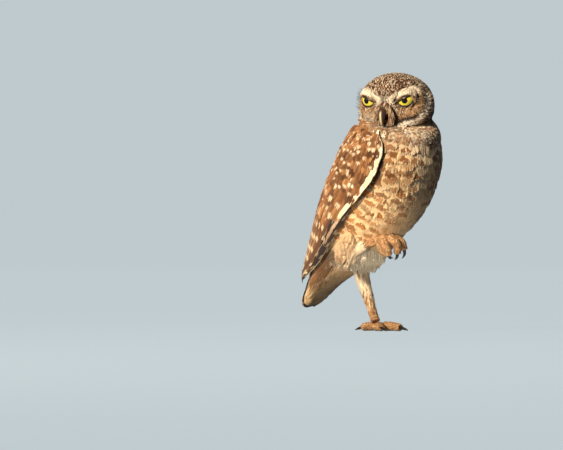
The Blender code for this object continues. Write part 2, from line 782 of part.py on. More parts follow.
def build_leg(word, thigh_path, hock, ankle, pad_rings, toes, raised):
    body = body_clearance()
    radii = RAISED_THIGH_RADII if raised else THIGH_RADII
    thigh = tube_rings(smooth_path([Vector(p) for p in thigh_path], 8), smooth_radii(radii, 8), 16)
    keep_largest(cut(new_object("thigh_" + word, *loft(thigh), M_CREAM), *body))
    reach = Vector(ankle) - Vector(hock)
    shin = [Vector(hock) + reach * s for s in (0, 0.25, 0.5, 0.75, 1)]
    tarsus_rings = tube_rings(smooth_path(shin, 9), smooth_radii(TARSUS_RADII, 9), 12)
    tarsus = new_object("tarsus_" + word, *loft(tarsus_rings), M_SKIN)
    cut(tarsus, *loft(grown(thigh, GAP)))
    cut(tarsus, *body)
    keep_largest(cut(tarsus, *loft(grown(pad_rings, GAP))))
    new_object("foot_" + word, *loft(pad_rings), M_SKIN)
    made = [pad_rings, tarsus_rings]
    for toe in toes:
        made.append(build_toe(word, toe, made, raised))


def pad(centre, radius, height):
    """The pad that joins the toes: a low cushion, flat above and underneath."""
    rings = []
    for i in range(PAD_RINGS):
        a = math.pi * (PAD_CROWN + (1 - 2 * PAD_CROWN) * i / (PAD_RINGS - 1))
        rings.append([
            Vector(centre) + Vector((
                radius * math.sin(a) * math.cos(2 * math.pi * j / PAD_AROUND),
                radius * math.sin(a) * math.sin(2 * math.pi * j / PAD_AROUND),
                -height / 2 * math.cos(a) / math.cos(PAD_CROWN * math.pi),
            ))
            for j in range(PAD_AROUND)
        ])
    return rings


for old in list(bpy.data.objects):
    bpy.data.objects.remove(old)
OWL = bpy.data.collections.new("burrowing_owl")
bpy.context.scene.collection.children.link(OWL)
CUTTERS = bpy.data.collections.new("cutters")
bpy.context.scene.collection.children.link(CUTTERS)
M_PLUMAGE = new_material("plumage", PLUMAGE)
M_CREAM = new_material("cream", CREAM)
M_SKIN = new_material("skin", SKIN)
M_HORN = new_material("horn", HORN, 0.4)
M_BILL = new_material("bill", BILL, 0.45)
M_EYE = new_material("eye", IRIS, 0.1)

build_torso()
build_neck()
build_head()
build_bill()
for side, word in ((1, "left"), (-1, "right")):
    build_eye(side, "eye_" + word)
    build_wing(side, "wing_" + word)
build_tail()
stand_pad = pad((0, 0, PAD_HEIGHT / 2), PAD_RADIUS, PAD_HEIGHT)
raised_pad = pad(RAISED_KNUCKLES, RAISED_PAD_RADIUS, RAISED_PAD_HEIGHT)
build_leg("left", STAND_THIGH, STAND_HOCK, STAND_ANKLE, stand_pad, STAND_TOES, False)
build_leg("right", RAISED_THIGH, RAISED_HOCK, RAISED_ANKLE, raised_pad, RAISED_TOES, True)
bpy.data.collections.remove(CUTTERS)
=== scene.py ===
# %% [markdown]
# # A burrowing owl, life size, dressed over its solids
# The solids give the owl its size, pose and outline. This lesson lays a skin a little inside them, covers it
# feather by feather, and adds eyes, bill, scaly feet and claws. Lengths are in millimetres until a mesh is
# written, and each cell prints what it made, so that a mistake shows where it happens.

import math

import bmesh
import bpy
import numpy as np
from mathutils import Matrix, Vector
from mathutils.bvhtree import BVHTree
from mathutils.kdtree import KDTree


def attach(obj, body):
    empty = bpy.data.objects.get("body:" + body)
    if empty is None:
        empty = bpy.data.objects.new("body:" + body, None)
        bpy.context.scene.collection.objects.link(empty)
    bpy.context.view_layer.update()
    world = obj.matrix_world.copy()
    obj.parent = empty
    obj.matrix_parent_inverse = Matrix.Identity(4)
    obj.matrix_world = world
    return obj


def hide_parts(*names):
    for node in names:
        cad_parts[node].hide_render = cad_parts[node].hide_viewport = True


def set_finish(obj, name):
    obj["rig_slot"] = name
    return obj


MM = 0.001
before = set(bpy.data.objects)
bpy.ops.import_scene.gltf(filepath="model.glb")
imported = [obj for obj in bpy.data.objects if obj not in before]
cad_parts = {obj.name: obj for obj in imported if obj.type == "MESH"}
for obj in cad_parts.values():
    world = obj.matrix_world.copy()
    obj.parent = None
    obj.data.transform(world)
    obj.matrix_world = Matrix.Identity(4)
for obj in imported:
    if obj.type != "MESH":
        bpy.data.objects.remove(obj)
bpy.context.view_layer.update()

# %% [markdown]
# ## The lie of the body
# A bird's feathers run from the neck to the tail, so it helps to know where a point lies along and round the
# body. The solids were laid out on a stack of ellipses along the spine. The same rows here give any place
# two numbers: t, from 0 at the tail's tip to 10 at the neck, and an angle, 0 at the breast and 180 at the back.

# %% The carrier, its rows and a point on it
SPINE = np.array([
    (81.0, 17.0, 12.0, 6.0), (69.0, 34.0, 17.0, 12.0), (56.0, 51.0, 22.0, 16.5), (41.0, 69.0, 28.5, 24.0),
    (23.5, 89.0, 36.5, 33.0), (5.5, 109.5, 41.0, 39.5), (-9.0, 128.0, 43.0, 42.0),
    (-17.5, 146.0, 42.5, 41.0), (-22.0, 161.0, 39.0, 38.0), (-25.0, 174.0, 35.5, 36.0),
    (-26.5, 187.0, 32.5, 31.0),
])
MID_X = -1.0
SIDE_ON = np.array([1.0, 0.0, 0.0])


def unit(v):
    return v / np.maximum(np.linalg.norm(v, axis=-1, keepdims=True), 1e-9)


def smooth_rows(rows, t):
    """A table read at places t as a smooth curve through its rows."""
    rows = np.asarray(rows, float)
    t = np.clip(np.asarray(t, float), 0, len(rows) - 1)
    i = np.minimum(t.astype(int), len(rows) - 2)
    f = (t - i)[..., None]
    p, q, r, s = (rows[np.clip(i + k, 0, len(rows) - 1)] for k in (-1, 0, 1, 2))
    return q + 0.5 * f * (r - p + f * (2 * p - 5 * q + 4 * r - s + f * (3 * (q - r) + s - p)))


def carrier_point(t, angle, lift=0.0):
    """Points on the carrier, lifted off it along its own outward direction."""
    t, angle = np.broadcast_arrays(np.asarray(t, float), np.asarray(angle, float))
    row = smooth_rows(SPINE, t)
    ahead = smooth_rows(SPINE, t + 0.05)[..., :2] - smooth_rows(SPINE, t - 0.05)[..., :2]
    up = unit(np.stack([np.zeros_like(t), ahead[..., 0], ahead[..., 1]], -1))
    front = np.cross(SIDE_ON, up)
    a = np.radians(angle)
    sideways, forward = np.sin(a)[..., None], np.cos(a)[..., None]
    wide, deep = row[..., 2:3], row[..., 3:4]
    centre = np.stack([np.full_like(t, MID_X), row[..., 0], row[..., 1]], -1)
    out = unit(SIDE_ON * sideways * deep + front * forward * wide)
    return centre + SIDE_ON * sideways * wide + front * forward * deep + out * np.asarray(lift)[..., None]


print("carrier at mid body", carrier_point(5.0, 90.0).round(1))

# %% [markdown]
# ## The head's own axes
# The head is turned to the bird's right and tipped down a little. Everything on it is easier to place in
# axes of its own: x to the bird's left, y to the back of the head and z up.

# %% Into and out of the head's axes
HEAD_CENTRE = np.array([MID_X, -21.5, 194.0])
HEAD_TURN = math.radians(-74.0)
HEAD_DROP = math.radians(12.0)


def turn_about(axis, angle):
    c, s = math.cos(angle), math.sin(angle)
    if axis == "z":
        return np.array([[c, -s, 0], [s, c, 0], [0, 0, 1]])
    return np.array([[1, 0, 0], [0, c, -s], [0, s, c]])


HEAD_AXES = turn_about("z", HEAD_TURN) @ turn_about("x", HEAD_DROP)


def to_head(points):
    return (np.asarray(points) - HEAD_CENTRE) @ HEAD_AXES


def from_head(points):
    return np.asarray(points) @ HEAD_AXES.T + HEAD_CENTRE


print("the bill points to", (HEAD_AXES @ np.array([0, -1, 0])).round(2))

# %% [markdown]
# ## Shader sums in Python
# A feather's marks are sums of a few numbers at each point. Building them by hand from Math nodes is slow to
# read, so a small class wraps a socket: an expression such as 1 - mask adds the node it needs.

# %% A socket that understands Python's signs
class Signal:
    def __init__(self, recipe, socket):
        self.recipe = recipe
        self.socket = socket

    def sum_with(self, kind, *others):
        settings = {"operation": kind}
        return self.recipe.node("ShaderNodeMath", settings, dict(enumerate((self, *others))))

    def turned(self, kind, other):
        return self.recipe.node("ShaderNodeMath", {"operation": kind}, {0: other, 1: self})

    def __add__(self, other):
        return self.sum_with("ADD", other)

    __radd__ = __add__

    def __sub__(self, other):
        return self.sum_with("SUBTRACT", other)

    def __rsub__(self, other):
        return self.turned("SUBTRACT", other)

    def __mul__(self, other):
        return self.sum_with("MULTIPLY", other)

    __rmul__ = __mul__

    def __truediv__(self, other):
        return self.sum_with("DIVIDE", other)

    def __pow__(self, other):
        return self.sum_with("POWER", other)

    def __abs__(self):
        return self.sum_with("ABSOLUTE")

    def most(self, other):
        return self.sum_with("MAXIMUM", other)

    def least(self, other):
        return self.sum_with("MINIMUM", other)

    def fraction(self):
        return self.sum_with("FRACT")

    def wave(self):
        return self.sum_with("SINE")

    def rise(self, start, end):
        """0 up to start, 1 from end on, and a soft step between them."""
        settings = {"interpolation_type": "SMOOTHSTEP"}
        return self.recipe.node("ShaderNodeMapRange", settings, {0: self, 1: start, 2: end, 3: 0.0, 4: 1.0})


class Recipe:
    """One material. Its node method adds any node and hands back one output as a Signal."""

    def __init__(self, name, **constants):
        self.material = bpy.data.materials.new(name)
        self.material.use_nodes = True
        self.tree = self.material.node_tree
        self.shader = self.tree.nodes["Principled BSDF"]
        for socket, value in constants.items():
            self.shader.inputs[socket.replace("_", " ")].default_value = value

    def feed(self, socket, value):
        if isinstance(value, Signal):
            self.tree.links.new(value.socket, socket)
        else:
            socket.default_value = (*value, 1.0) if isinstance(value, tuple) and len(value) == 3 and \
                socket.type == "RGBA" else value

    def node(self, kind, settings=None, inputs=None, output=0):
        made = self.tree.nodes.new(kind)
        for key, value in (settings or {}).items():
            if key == "stops":
                set_stops(made.color_ramp, value)
            else:
                setattr(made, key, value)
        for key, value in (inputs or {}).items():
            self.feed(made.inputs[key], value)
        return Signal(self, made.outputs[output])

    def mix(self, share, a, b, blend="MIX"):
        settings = {"data_type": "RGBA", "blend_type": blend, "clamp_factor": True}
        return self.node("ShaderNodeMix", settings, {0: share, 6: a, 7: b}, 2)

    def read(self, attribute, output=0):
        return self.node("ShaderNodeAttribute", {"attribute_name": attribute}, output=output)

    def parts(self, vector):
        made = self.tree.nodes.new("ShaderNodeSeparateXYZ")
        self.feed(made.inputs[0], vector)
        return [Signal(self, made.outputs[i]) for i in range(3)]

    def set(self, **values):
        for socket, value in values.items():
            self.feed(self.shader.inputs[socket.replace("_", " ")], value)
        return self.material


def set_stops(ramp, stops):
    while len(ramp.elements) < len(stops):
        ramp.elements.new(0.5)
    for element, (place, colour) in zip(ramp.elements, stops):
        element.position = place
        element.color = (*colour, 1.0)


def tone(red, green, blue):
    """A colour as one picks it on a screen, 0 to 255, in the linear values a shader needs."""
    values = np.array([red, green, blue]) / 255
    return tuple(np.where(values <= 0.04045, values / 12.92, ((values + 0.055) / 1.055) ** 2.4))


print("a test tone", np.round(tone(176, 112, 58), 3))

# %% [markdown]
# ## The skin
# Under its plumage a bird has one skin from bill to tail. Copies of the flesh solids are joined, remeshed so
# that they run into one another without a seam, smoothed, and shrunk by the depth of the coat.

# %% One skin from the flesh solids
COAT_DEPTH = 1.9
FLESH = ("head", "neck", "torso", "tail", "thigh_left", "thigh_right")


def joined_copy(name, nodes):
    mesh = bpy.data.meshes.new(name)
    gathered = bmesh.new()
    for node in nodes:
        gathered.from_mesh(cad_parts[node].data)
    gathered.to_mesh(mesh)
    gathered.free()
    made = bpy.data.objects.new(name, mesh)
    bpy.context.scene.collection.objects.link(made)
    return made


def modified(made, *steps):
    """Add modifiers, each a kind and its settings, and keep their result as the mesh."""
    for kind, settings in steps:
        modifier = made.modifiers.new(kind.title(), kind)
        for key, value in settings.items():
            setattr(modifier, key, value)
    evaluated = made.evaluated_get(bpy.context.evaluated_depsgraph_get())
    result = bpy.data.meshes.new_from_object(evaluated)
    made.modifiers.clear()
    old = made.data
    made.data = result
    bpy.data.meshes.remove(old)
    result.polygons.foreach_set("use_smooth", np.ones(len(result.polygons), bool))
    return made


def remesh(size):
    return ("REMESH", {"mode": "VOXEL", "voxel_size": size * MM, "use_smooth_shade": True})


def smooth(times, factor=0.5):
    return ("SMOOTH", {"iterations": times, "factor": factor})


skin = joined_copy("skin", FLESH)
modified(skin, remesh(0.9), smooth(6), ("DISPLACE", {"strength": -COAT_DEPTH * MM, "mid_level": 0.0}),
         remesh(1.3), smooth(4))
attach(skin, "root")
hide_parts(*FLESH)
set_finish(skin, "plumage")
count = len(skin.data.vertices)
skin_points = np.empty(count * 3)
skin.data.vertices.foreach_get("co", skin_points)
skin_points = skin_points.reshape(-1, 3) / MM
print("skin", count, "points, box", skin_points.min(0).round(1), skin_points.max(0).round(1))

# %% [markdown]
# A feather needs to know which part of the bird it grows on, where that is along the body, and which way its
# neighbours lie. Each place on the skin takes these from the nearest solid, from the carrier and from the head.

# %% Search trees for the skin, the solids and the carrier
skin_tree = BVHTree.FromPolygons(
    [Vector(p) for p in skin_points], [tuple(f.vertices) for f in skin.data.polygons])
solid_trees = []
for node in FLESH:
    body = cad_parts[node].data
    solid_trees.append(BVHTree.FromPolygons(
        [v.co / MM for v in body.vertices], [tuple(f.vertices) for f in body.polygons]))

CARRIER_T = np.linspace(0, 10, 161)
CARRIER_ANGLE = np.arange(0, 360, 4.0)
grid_t, grid_angle = (g.ravel() for g in np.meshgrid(CARRIER_T, CARRIER_ANGLE, indexing="ij"))
grid_points = carrier_point(grid_t, grid_angle)
carrier_tree = KDTree(len(grid_points))
for index, point in enumerate(grid_points):
    carrier_tree.insert(point, index)
carrier_tree.balance()


def nearest_on_skin(points):
    found = [skin_tree.find_nearest(Vector(p)) for p in points]
    return np.array([f[0] for f in found]), np.array([f[1] for f in found])


def part_of(points):
    """The number, in FLESH, of the solid nearest to each point."""
    return np.array([
        min(range(len(solid_trees)), key=lambda k: solid_trees[k].find_nearest(Vector(p))[3])
        for p in points
    ])


def place_on_body(points):
    """t and angle, from -180 to 180 with the bird's left positive, of each point."""
    near = np.array([carrier_tree.find(Vector(p))[1] for p in points])
    angle = grid_angle[near]
    return grid_t[near], np.where(angle > 180, angle - 360, angle)


print("search trees over", len(FLESH), "solids and", len(grid_points), "carrier points")

# %% [markdown]
# ## Which way the feathers lie
# On the body they point from neck to tail. On the head they stream away from the bill and round the eyes. The
# brow's feathers run outwards along the brow, and the face's own fan out like the rays of a dish.

# %% The lie at any place
EYE_RADIUS = 8.0
EYE_SPOT = np.array([16.0, -15.8, 6.0])
EYE_TURN_OUT = math.radians(14.0)
BILL_ROOT = np.array([0.0, -27.0, -3.0])
STAND_THIGH_DOWN = np.array([-0.05, 0.45, -0.9])
RAISED_THIGH_DOWN = np.array([-0.12, 0.55, -0.8])
PART = {name: number for number, name in enumerate(FLESH)}
# The brow's middle line: height above the head's middle at a distance to the side.
BROW_LINE = ((0, 5.0), (5, 7.2), (9, 9.6), (13, 12), (17, 13.8), (21, 14.2), (25, 12.4), (30, 9.0))
BROW_HALF = 2.4


def bump(value, middle, spread):
    return np.exp(-(((value - middle) / spread) ** 2))


def ramp(value, start, end):
    return np.clip((value - start) / (end - start), 0, 1)


def table(rows, value):
    places, values = zip(*rows)
    return np.interp(value, places, values)


def eye_from(points):
    """How far each place of the head is from its own side's eye, and the way from the eye to it."""
    away = points - EYE_SPOT * np.where(points[:, :1] < 0, [-1.0, 1, 1], [1.0, 1, 1])
    return np.linalg.norm(away, axis=1), away


CREASE_LINE = ((3.0, -31, -15.5), (10.4, -25, -12.4), (18, -23, -10.2), (25, -17, -8.5))
RUFF_LINE = ((31, -4.0, 6.0), (31.4, -6.1, -0.4), (31, -8.0, -3.4), (29.2, -11.2, -8), (25.3, -15.6, -11.4),
             (20.1, -21.1, -13.7), (15, -25, -15.5))
CHIN_LINE = ((20, -20.0, -14.5), (11, -25.0, -16.5), (0, -26.0, -18.5))


def off_line(q, line):
    """Distance of places from a line of points drawn on the bird's left half and mirrored."""
    half = np.concatenate([abs(q[:, :1]), q[:, 1:]], axis=1)
    best = np.full(len(q), 1e9)
    for a, b in zip(np.array(line, float)[:-1], np.array(line, float)[1:]):
        share = np.clip(((half - a) @ (b - a)) / ((b - a) @ (b - a)), 0, 1)[:, None]
        best = np.minimum(best, np.linalg.norm(half - a - (b - a) * share, axis=1))
    return best


def brow_share(q):
    side = abs(q[:, 0])
    off = q[:, 2] - table(BROW_LINE, side)
    half = BROW_HALF * (1 - 0.35 * ramp(side, 20, 28))
    return (1 - ramp(abs(off), half * 0.8, half * 1.35)) * ramp(-q[:, 1], 5.0, 10.0) * (1 - ramp(side, 26, 29))


def lie_on_head(points):
    """The lie, in the model's axes, from places given in the head's."""
    side = abs(points[:, 0])
    from_bill = unit(points - BILL_ROOT)
    back = np.array([0.0, 1.0, 0.0])
    distance, from_eye = eye_from(points)
    near_eye = bump(distance, 8.0, 6.0)[:, None]
    face = ramp(-points[:, 1], 2.0, 16.0)[:, None]
    lie = unit(from_bill * (0.6 + 0.4 * face) + back * (1 - face) * 0.8)
    lie = unit(lie * (1 - near_eye * face) + unit(from_eye) * near_eye * face * 1.2)
    slope = (table(BROW_LINE, side + 1) - table(BROW_LINE, side - 1)) / 2
    outward = np.where(points[:, 0] < 0, -1.0, 1.0)
    along_brow = unit(np.stack([outward, 0.35 * np.ones(len(points)), slope + 0.12], 1))
    brow = brow_share(points)[:, None]
    lie = unit(lie * (1 - brow) + along_brow * brow)
    low = ramp(-points[:, 2], 8.0, 20.0)[:, None] * (1 - face)
    lie = unit(lie + np.array([0.0, 0.1, -0.9]) * low)
    return lie @ HEAD_AXES.T


def lie_at(points, part, t, angle):
    lie = unit(carrier_point(t - 0.15, angle) - carrier_point(t + 0.15, angle))
    on_head = part == PART["head"]
    lie[on_head] = lie_on_head(to_head(points[on_head]))
    on_neck = part == PART["neck"]
    below = ramp(8.9 - t, 0.0, 0.9)[:, None]
    mixed = unit(lie * below + lie_on_head(to_head(points)) * (1 - below))
    lie[on_neck] = mixed[on_neck]
    for name, down in (("thigh_left", STAND_THIGH_DOWN), ("thigh_right", RAISED_THIGH_DOWN)):
        lie[part == PART[name]] = unit(down)
    return lie


print("the lie at the crown", lie_on_head(np.array([[0.0, 0.0, 26.0]])).round(2))

# %% [markdown]
# ## Kinds of feather
# Every feather gets numbers for spacing, length, width and how far the tip stands off. They are small on the
# face and largest on the flanks.

# %% Spacing, length, width and stand of the feathers
def head_sizes(q):
    face = ramp(-q[:, 1], 8.0, 15.0)
    side = abs(q[:, 0])
    above = ramp(q[:, 2] - table(BROW_LINE, side), 1.0, 2.5)
    eye_far, _ = eye_from(q)
    brow = brow_share(q)
    disc = face * (1 - above)
    spacing = 0.86 - 0.12 * disc
    length = 4.8 - 1.0 * disc
    width = 1.25 - 0.4 * disc
    length = np.where(eye_far < 13, 3.2, length)
    length = np.where(brow > 0.4, 4.8, length)
    width = np.where(brow > 0.4, 0.8, width)
    spacing = np.where(brow > 0.4, 0.72, spacing)
    stand = 1.0 + 0.45 * brow + 2.3 * (1 - ramp(off_line(q, RUFF_LINE), 1.8, 3.8))
    return spacing, length, width, stand


def body_sizes(part, t, angle):
    back = ramp(abs(angle), 84, 100)
    low = ramp(5.8 - t, 0.0, 2.6)
    high = ramp(t, 7.3, 8.6)
    under = ramp(3.3 - t, 0.0, 0.6)
    spacing = 2.35 - 0.85 * high
    length = 11.5 - 5.5 * high + 2.5 * low + 3.0 * under
    width = 5.4 - 3.2 * high - 0.8 * under
    stand = 1.2 - 0.2 * high - 0.1 * back + 0.3 * low * (1 - back)
    on_thigh = (part == PART["thigh_left"]) | (part == PART["thigh_right"])
    return (np.where(on_thigh, 1.7, spacing), np.where(on_thigh, 7.0, length),
            np.where(on_thigh, 2.2, width), np.where(on_thigh, 1.2, stand))


def sizes_at(points, part, t, angle):
    on_head = part == PART["head"]
    return [np.where(on_head, h, b) for h, b in zip(head_sizes(to_head(points)), body_sizes(part, t, angle))]


# %% [markdown]
# ## Where the feathers root
# Feathers grow evenly, close together on the face and wider apart on the breast and back. Points are thrown on
# the skin at random, more of them where feathers are small, and one is kept only if no other kept point lies
# nearer than its own spacing.

# %% Scattered roots
rng = np.random.default_rng(5)
skin_mesh = skin.data
skin_mesh.calc_loop_triangles()
skin_corners = np.empty(len(skin_mesh.loop_triangles) * 3, int)
skin_mesh.loop_triangles.foreach_get("vertices", skin_corners)
skin_corners = skin_corners.reshape(-1, 3)
triangle = skin_points[skin_corners]
triangle_cross = np.cross(triangle[:, 1] - triangle[:, 0], triangle[:, 2] - triangle[:, 0])
triangle_area = np.linalg.norm(triangle_cross, axis=1) / 2
skin_part = part_of(skin_points)
skin_t, skin_angle = place_on_body(skin_points)
skin_spacing = sizes_at(skin_points, skin_part, skin_t, skin_angle)[0]
wanted = triangle_area / (0.87 * skin_spacing[skin_corners].mean(axis=1) ** 2)


def thrown_on_skin(number):
    """Points thrown on the skin, denser where feathers stand closer."""
    pick = rng.choice(len(wanted), number, p=wanted / wanted.sum())
    r, s = rng.random((2, number))
    over = r + s > 1
    r, s = np.where(over, 1 - r, r)[:, None], np.where(over, 1 - s, s)[:, None]
    a, b, c = (triangle[pick, k] for k in range(3))
    return a + (b - a) * r + (c - a) * s, skin_corners[pick, 0]


def spaced(points, spacing):
    """Which points to keep so that each has its own spacing clear of those kept before it."""
    cell = float(spacing.max())
    kept, cells = [], {}
    keys = np.floor(points / cell).astype(int)
    reach = [(x, y, z) for x in (-1, 0, 1) for y in (-1, 0, 1) for z in (-1, 0, 1)]
    for i, (key, point, clear) in enumerate(zip(keys.tolist(), points.tolist(), (spacing**2).tolist())):
        x, y, z = point
        if any((x - o[0]) ** 2 + (y - o[1]) ** 2 + (z - o[2]) ** 2 < clear
               for step in reach for o in cells.get((key[0] + step[0], key[1] + step[1], key[2] + step[2]), ())):
            continue
        kept.append(i)
        cells.setdefault(tuple(key), []).append(point)
    return np.array(kept, int)


thrown, thrown_corner = thrown_on_skin(int(wanted.sum() * 5))
thrown_part = skin_part[thrown_corner]
thrown_t, thrown_angle = place_on_body(thrown)
spacing = sizes_at(thrown, thrown_part, thrown_t, thrown_angle)[0]
head_places = to_head(thrown)
eye_clear = eye_from(head_places)[0] > EYE_RADIUS + 1.2
bill_clear = np.linalg.norm((head_places - [0, -30, -6]) / [4.6, 9, 6.0], axis=1) > 1
on_head = thrown_part == PART["head"]
groups = [np.flatnonzero(on_head & eye_clear & bill_clear), np.flatnonzero(~on_head)]
kept = np.concatenate([group[spaced(thrown[group], spacing[group])] for group in groups])
roots, root_part, root_t, root_angle = thrown[kept], thrown_part[kept], thrown_t[kept], thrown_angle[kept]
print("skin area", round(triangle_area.sum()), "square mm,", len(thrown), "thrown,", len(roots), "kept",
      np.bincount(root_part))

# %% [markdown]
# ## Colours
# Every feather has a ground colour and a mark. They follow the bird: dark crown with pale flecks, a cream brow
# in a V, pale ruff and throat, barred breast, plain cream belly, and a brown back with round pale spots. Over
# these lie painted shade in the crease under the cheek, under the wing's edge, on the undertail and beside the bill,
# a cheek painted lighter on one side, and a painted lit tail tip. Colours are looked up where the tip of a feather
# ends, because that is what shows.

# %% Colours of the plumage
CROWN = tone(134, 84, 50)
CROWN_DARK = tone(70, 44, 28)
CREAM_WHITE = tone(252, 230, 196)
THROAT = tone(238, 212, 176)
FACE_BROWN = tone(174, 126, 82)
FACE_GREY = tone(176, 142, 108)
CHEEK = tone(214, 162, 108)
LORE = tone(222, 182, 134)
# Painted shade for the crease under the cheek.
CREASE_SHADE = tone(48, 30, 20)
COLLAR = tone(88, 64, 46)
RUFF = tone(244, 226, 198)
BACK = tone(162, 108, 62)
BUFF = tone(242, 200, 146)
BELLY = tone(238, 198, 144)
BAR = tone(150, 92, 46)
BAR_LOW = tone(168, 100, 42)
FLANK = tone(246, 210, 156)
THIGH = tone(255, 238, 206)
WING_BROWN = tone(166, 108, 62)
WING_DARK = tone(98, 60, 36)
WING_BLACK = tone(48, 30, 20)
WING_SPOT = tone(252, 232, 200)
WING_RIM = tone(238, 208, 160)
FLECK = tone(244, 210, 166)

# The wing's lower edge: the angle round the body at places t along it.
WING_LOW = ((0.8, 158), (1.2, 122), (1.7, 94), (2.5, 81), (3.9, 80), (4.8, 79), (5.6, 74),
            (6.5, 68), (7.4, 66), (8.0, 68), (8.5, 78))

def blend(base, colour, share):
    """Rows of colours moved towards one colour, or towards their own rows, by a share for each."""
    share = np.asarray(share, float)[:, None]
    return base * (1 - share) + np.array(colour) * share


def noise_at(points, size, seed=0):
    """Smooth random values from 0 to 1 at points, from a few crossing waves."""
    total = np.zeros(len(points))
    source = np.random.default_rng(100 + seed)
    for _ in range(7):
        way = unit(source.normal(size=3)) / size * source.uniform(0.7, 1.4) * 2 * math.pi
        total += np.sin(points @ way + source.uniform(0, 2 * math.pi))
    return np.clip(0.5 + total / 5, 0, 1)


def varied(ground, *kinds):
    """Single feathers blended towards other colours; each kind is a colour, how many of them and how far."""
    for colour, portion, share in kinds:
        chosen = rng.random(len(ground)) < portion
        ground = blend(ground, colour, chosen * rng.uniform(0.3, 1.0, len(ground)) * share)
    return ground


def head_colours(q):
    n = len(q)
    side = abs(q[:, 0])
    face = ramp(-q[:, 1], 6.0, 13.0)
    eye_far, _ = eye_from(q)
    brow = brow_share(q)
    above = ramp(q[:, 2] - table(BROW_LINE, side), 0.5, 2.0)
    patch = noise_at(q, 6.0, 3)
    ground = blend(np.tile(np.array(CROWN), (n, 1)), CROWN_DARK, 0.35 + 0.55 * patch)
    disc = face * (1 - above)
    ground = blend(ground, FACE_BROWN, disc)
    # Tawny cheeks, laid on fully on the head's left and weakly on its right: painted light on the left cheek.
    ground = blend(ground, CHEEK, disc * ramp(side, 17, 25) * ramp(14 - q[:, 2], 0, 6) * np.where(q[:, 0] > 0, 1.0, 0.3))
    ground = blend(ground, FACE_GREY, disc * bump(eye_far, 10.5, 2.8) * ramp(q[:, 2], 0, 6) * 0.8)
    below_eye = disc * bump(side, 13.0, 8.0) * bump(q[:, 2], -5.0, 4.5)
    ground = blend(ground, LORE, below_eye * (0.15 + 0.45 * patch))
    lores = bump(side, 5.0, 3.2) * bump(q[:, 2], 1.5, 5.0) * ramp(-q[:, 1], 18, 22)
    ground = blend(ground, CREAM_WHITE, np.clip(lores * 1.2, 0, 0.85))
    # Painted shade beside and under the root of the bill.
    ground = blend(ground, tone(98, 66, 42), bump(side, 5.5, 2.4) * bump(q[:, 2], -8.0, 4.0) * face * 0.8)
    ground = blend(ground, THROAT, (1 - ramp(off_line(q, CHIN_LINE), 2.2, 4.4)) * 0.85)
    ground = blend(ground, RUFF, (1 - ramp(off_line(q, RUFF_LINE), 2.2, 4.4)) * (0.5 + 0.5 * (rng.random(n) < 0.7)))
    ground = varied(ground, (CREAM_WHITE, 0.26, 0.85), (CROWN_DARK, 0.40, 0.9))
    low_cheek = bump(q[:, 0], -15.0, 8.0) * bump(q[:, 2], -11.5, 5.0) * face
    ground = blend(ground, CREAM_WHITE, low_cheek * np.where(rng.random(n) < 0.7, 0.8, 0.15))
    # Painted shade in the crease under the cheek, stronger on the head's left side.
    crease = 1 - ramp(off_line(q, CREASE_LINE), 1.2, 2.4)
    ground = blend(ground, CREASE_SHADE, crease * np.where(q[:, 0] > 0, 0.97, 0.5))
    collar = ramp(q[:, 1], -3.0, 1.0) * ramp(-q[:, 2], 4.0, 9.0)
    ground = blend(ground, COLLAR, collar * 0.75)
    below = ramp(-q[:, 2], 16.0, 20.0) * ramp(-q[:, 1], -4.0, 6.0)
    ground = blend(ground, blend(np.tile(np.array(THROAT), (n, 1)), BAR, 0.55 * patch), below)
    pale = varied(np.tile(np.array(CREAM_WHITE), (n, 1)), (tone(206, 162, 116), 0.5, 0.7))
    ground = blend(ground, pale, brow)
    dim = blend(np.tile(np.array(FLECK), (n, 1)), COLLAR, disc * 0.9)
    fleck = above * (1 - brow) * np.where(rng.random(n) < 0.34, rng.uniform(0.55, 1, n), 0.0)
    behind = ramp(q[:, 1], -6.0, 2.0) * (q[:, 2] > -8) * np.where(rng.random(n) < 0.42, 0.8, 0.12)
    fleck = np.maximum(np.maximum(fleck, behind), disc * (1 - brow) * np.where(rng.random(n) < 0.3, 0.5, 0.0))
    fleck *= 1 - lores
    zero = np.zeros(n)
    return ground, dim, np.stack([zero, zero, fleck], 1), np.stack([zero, 0.5 * (1 - brow), zero], 1)


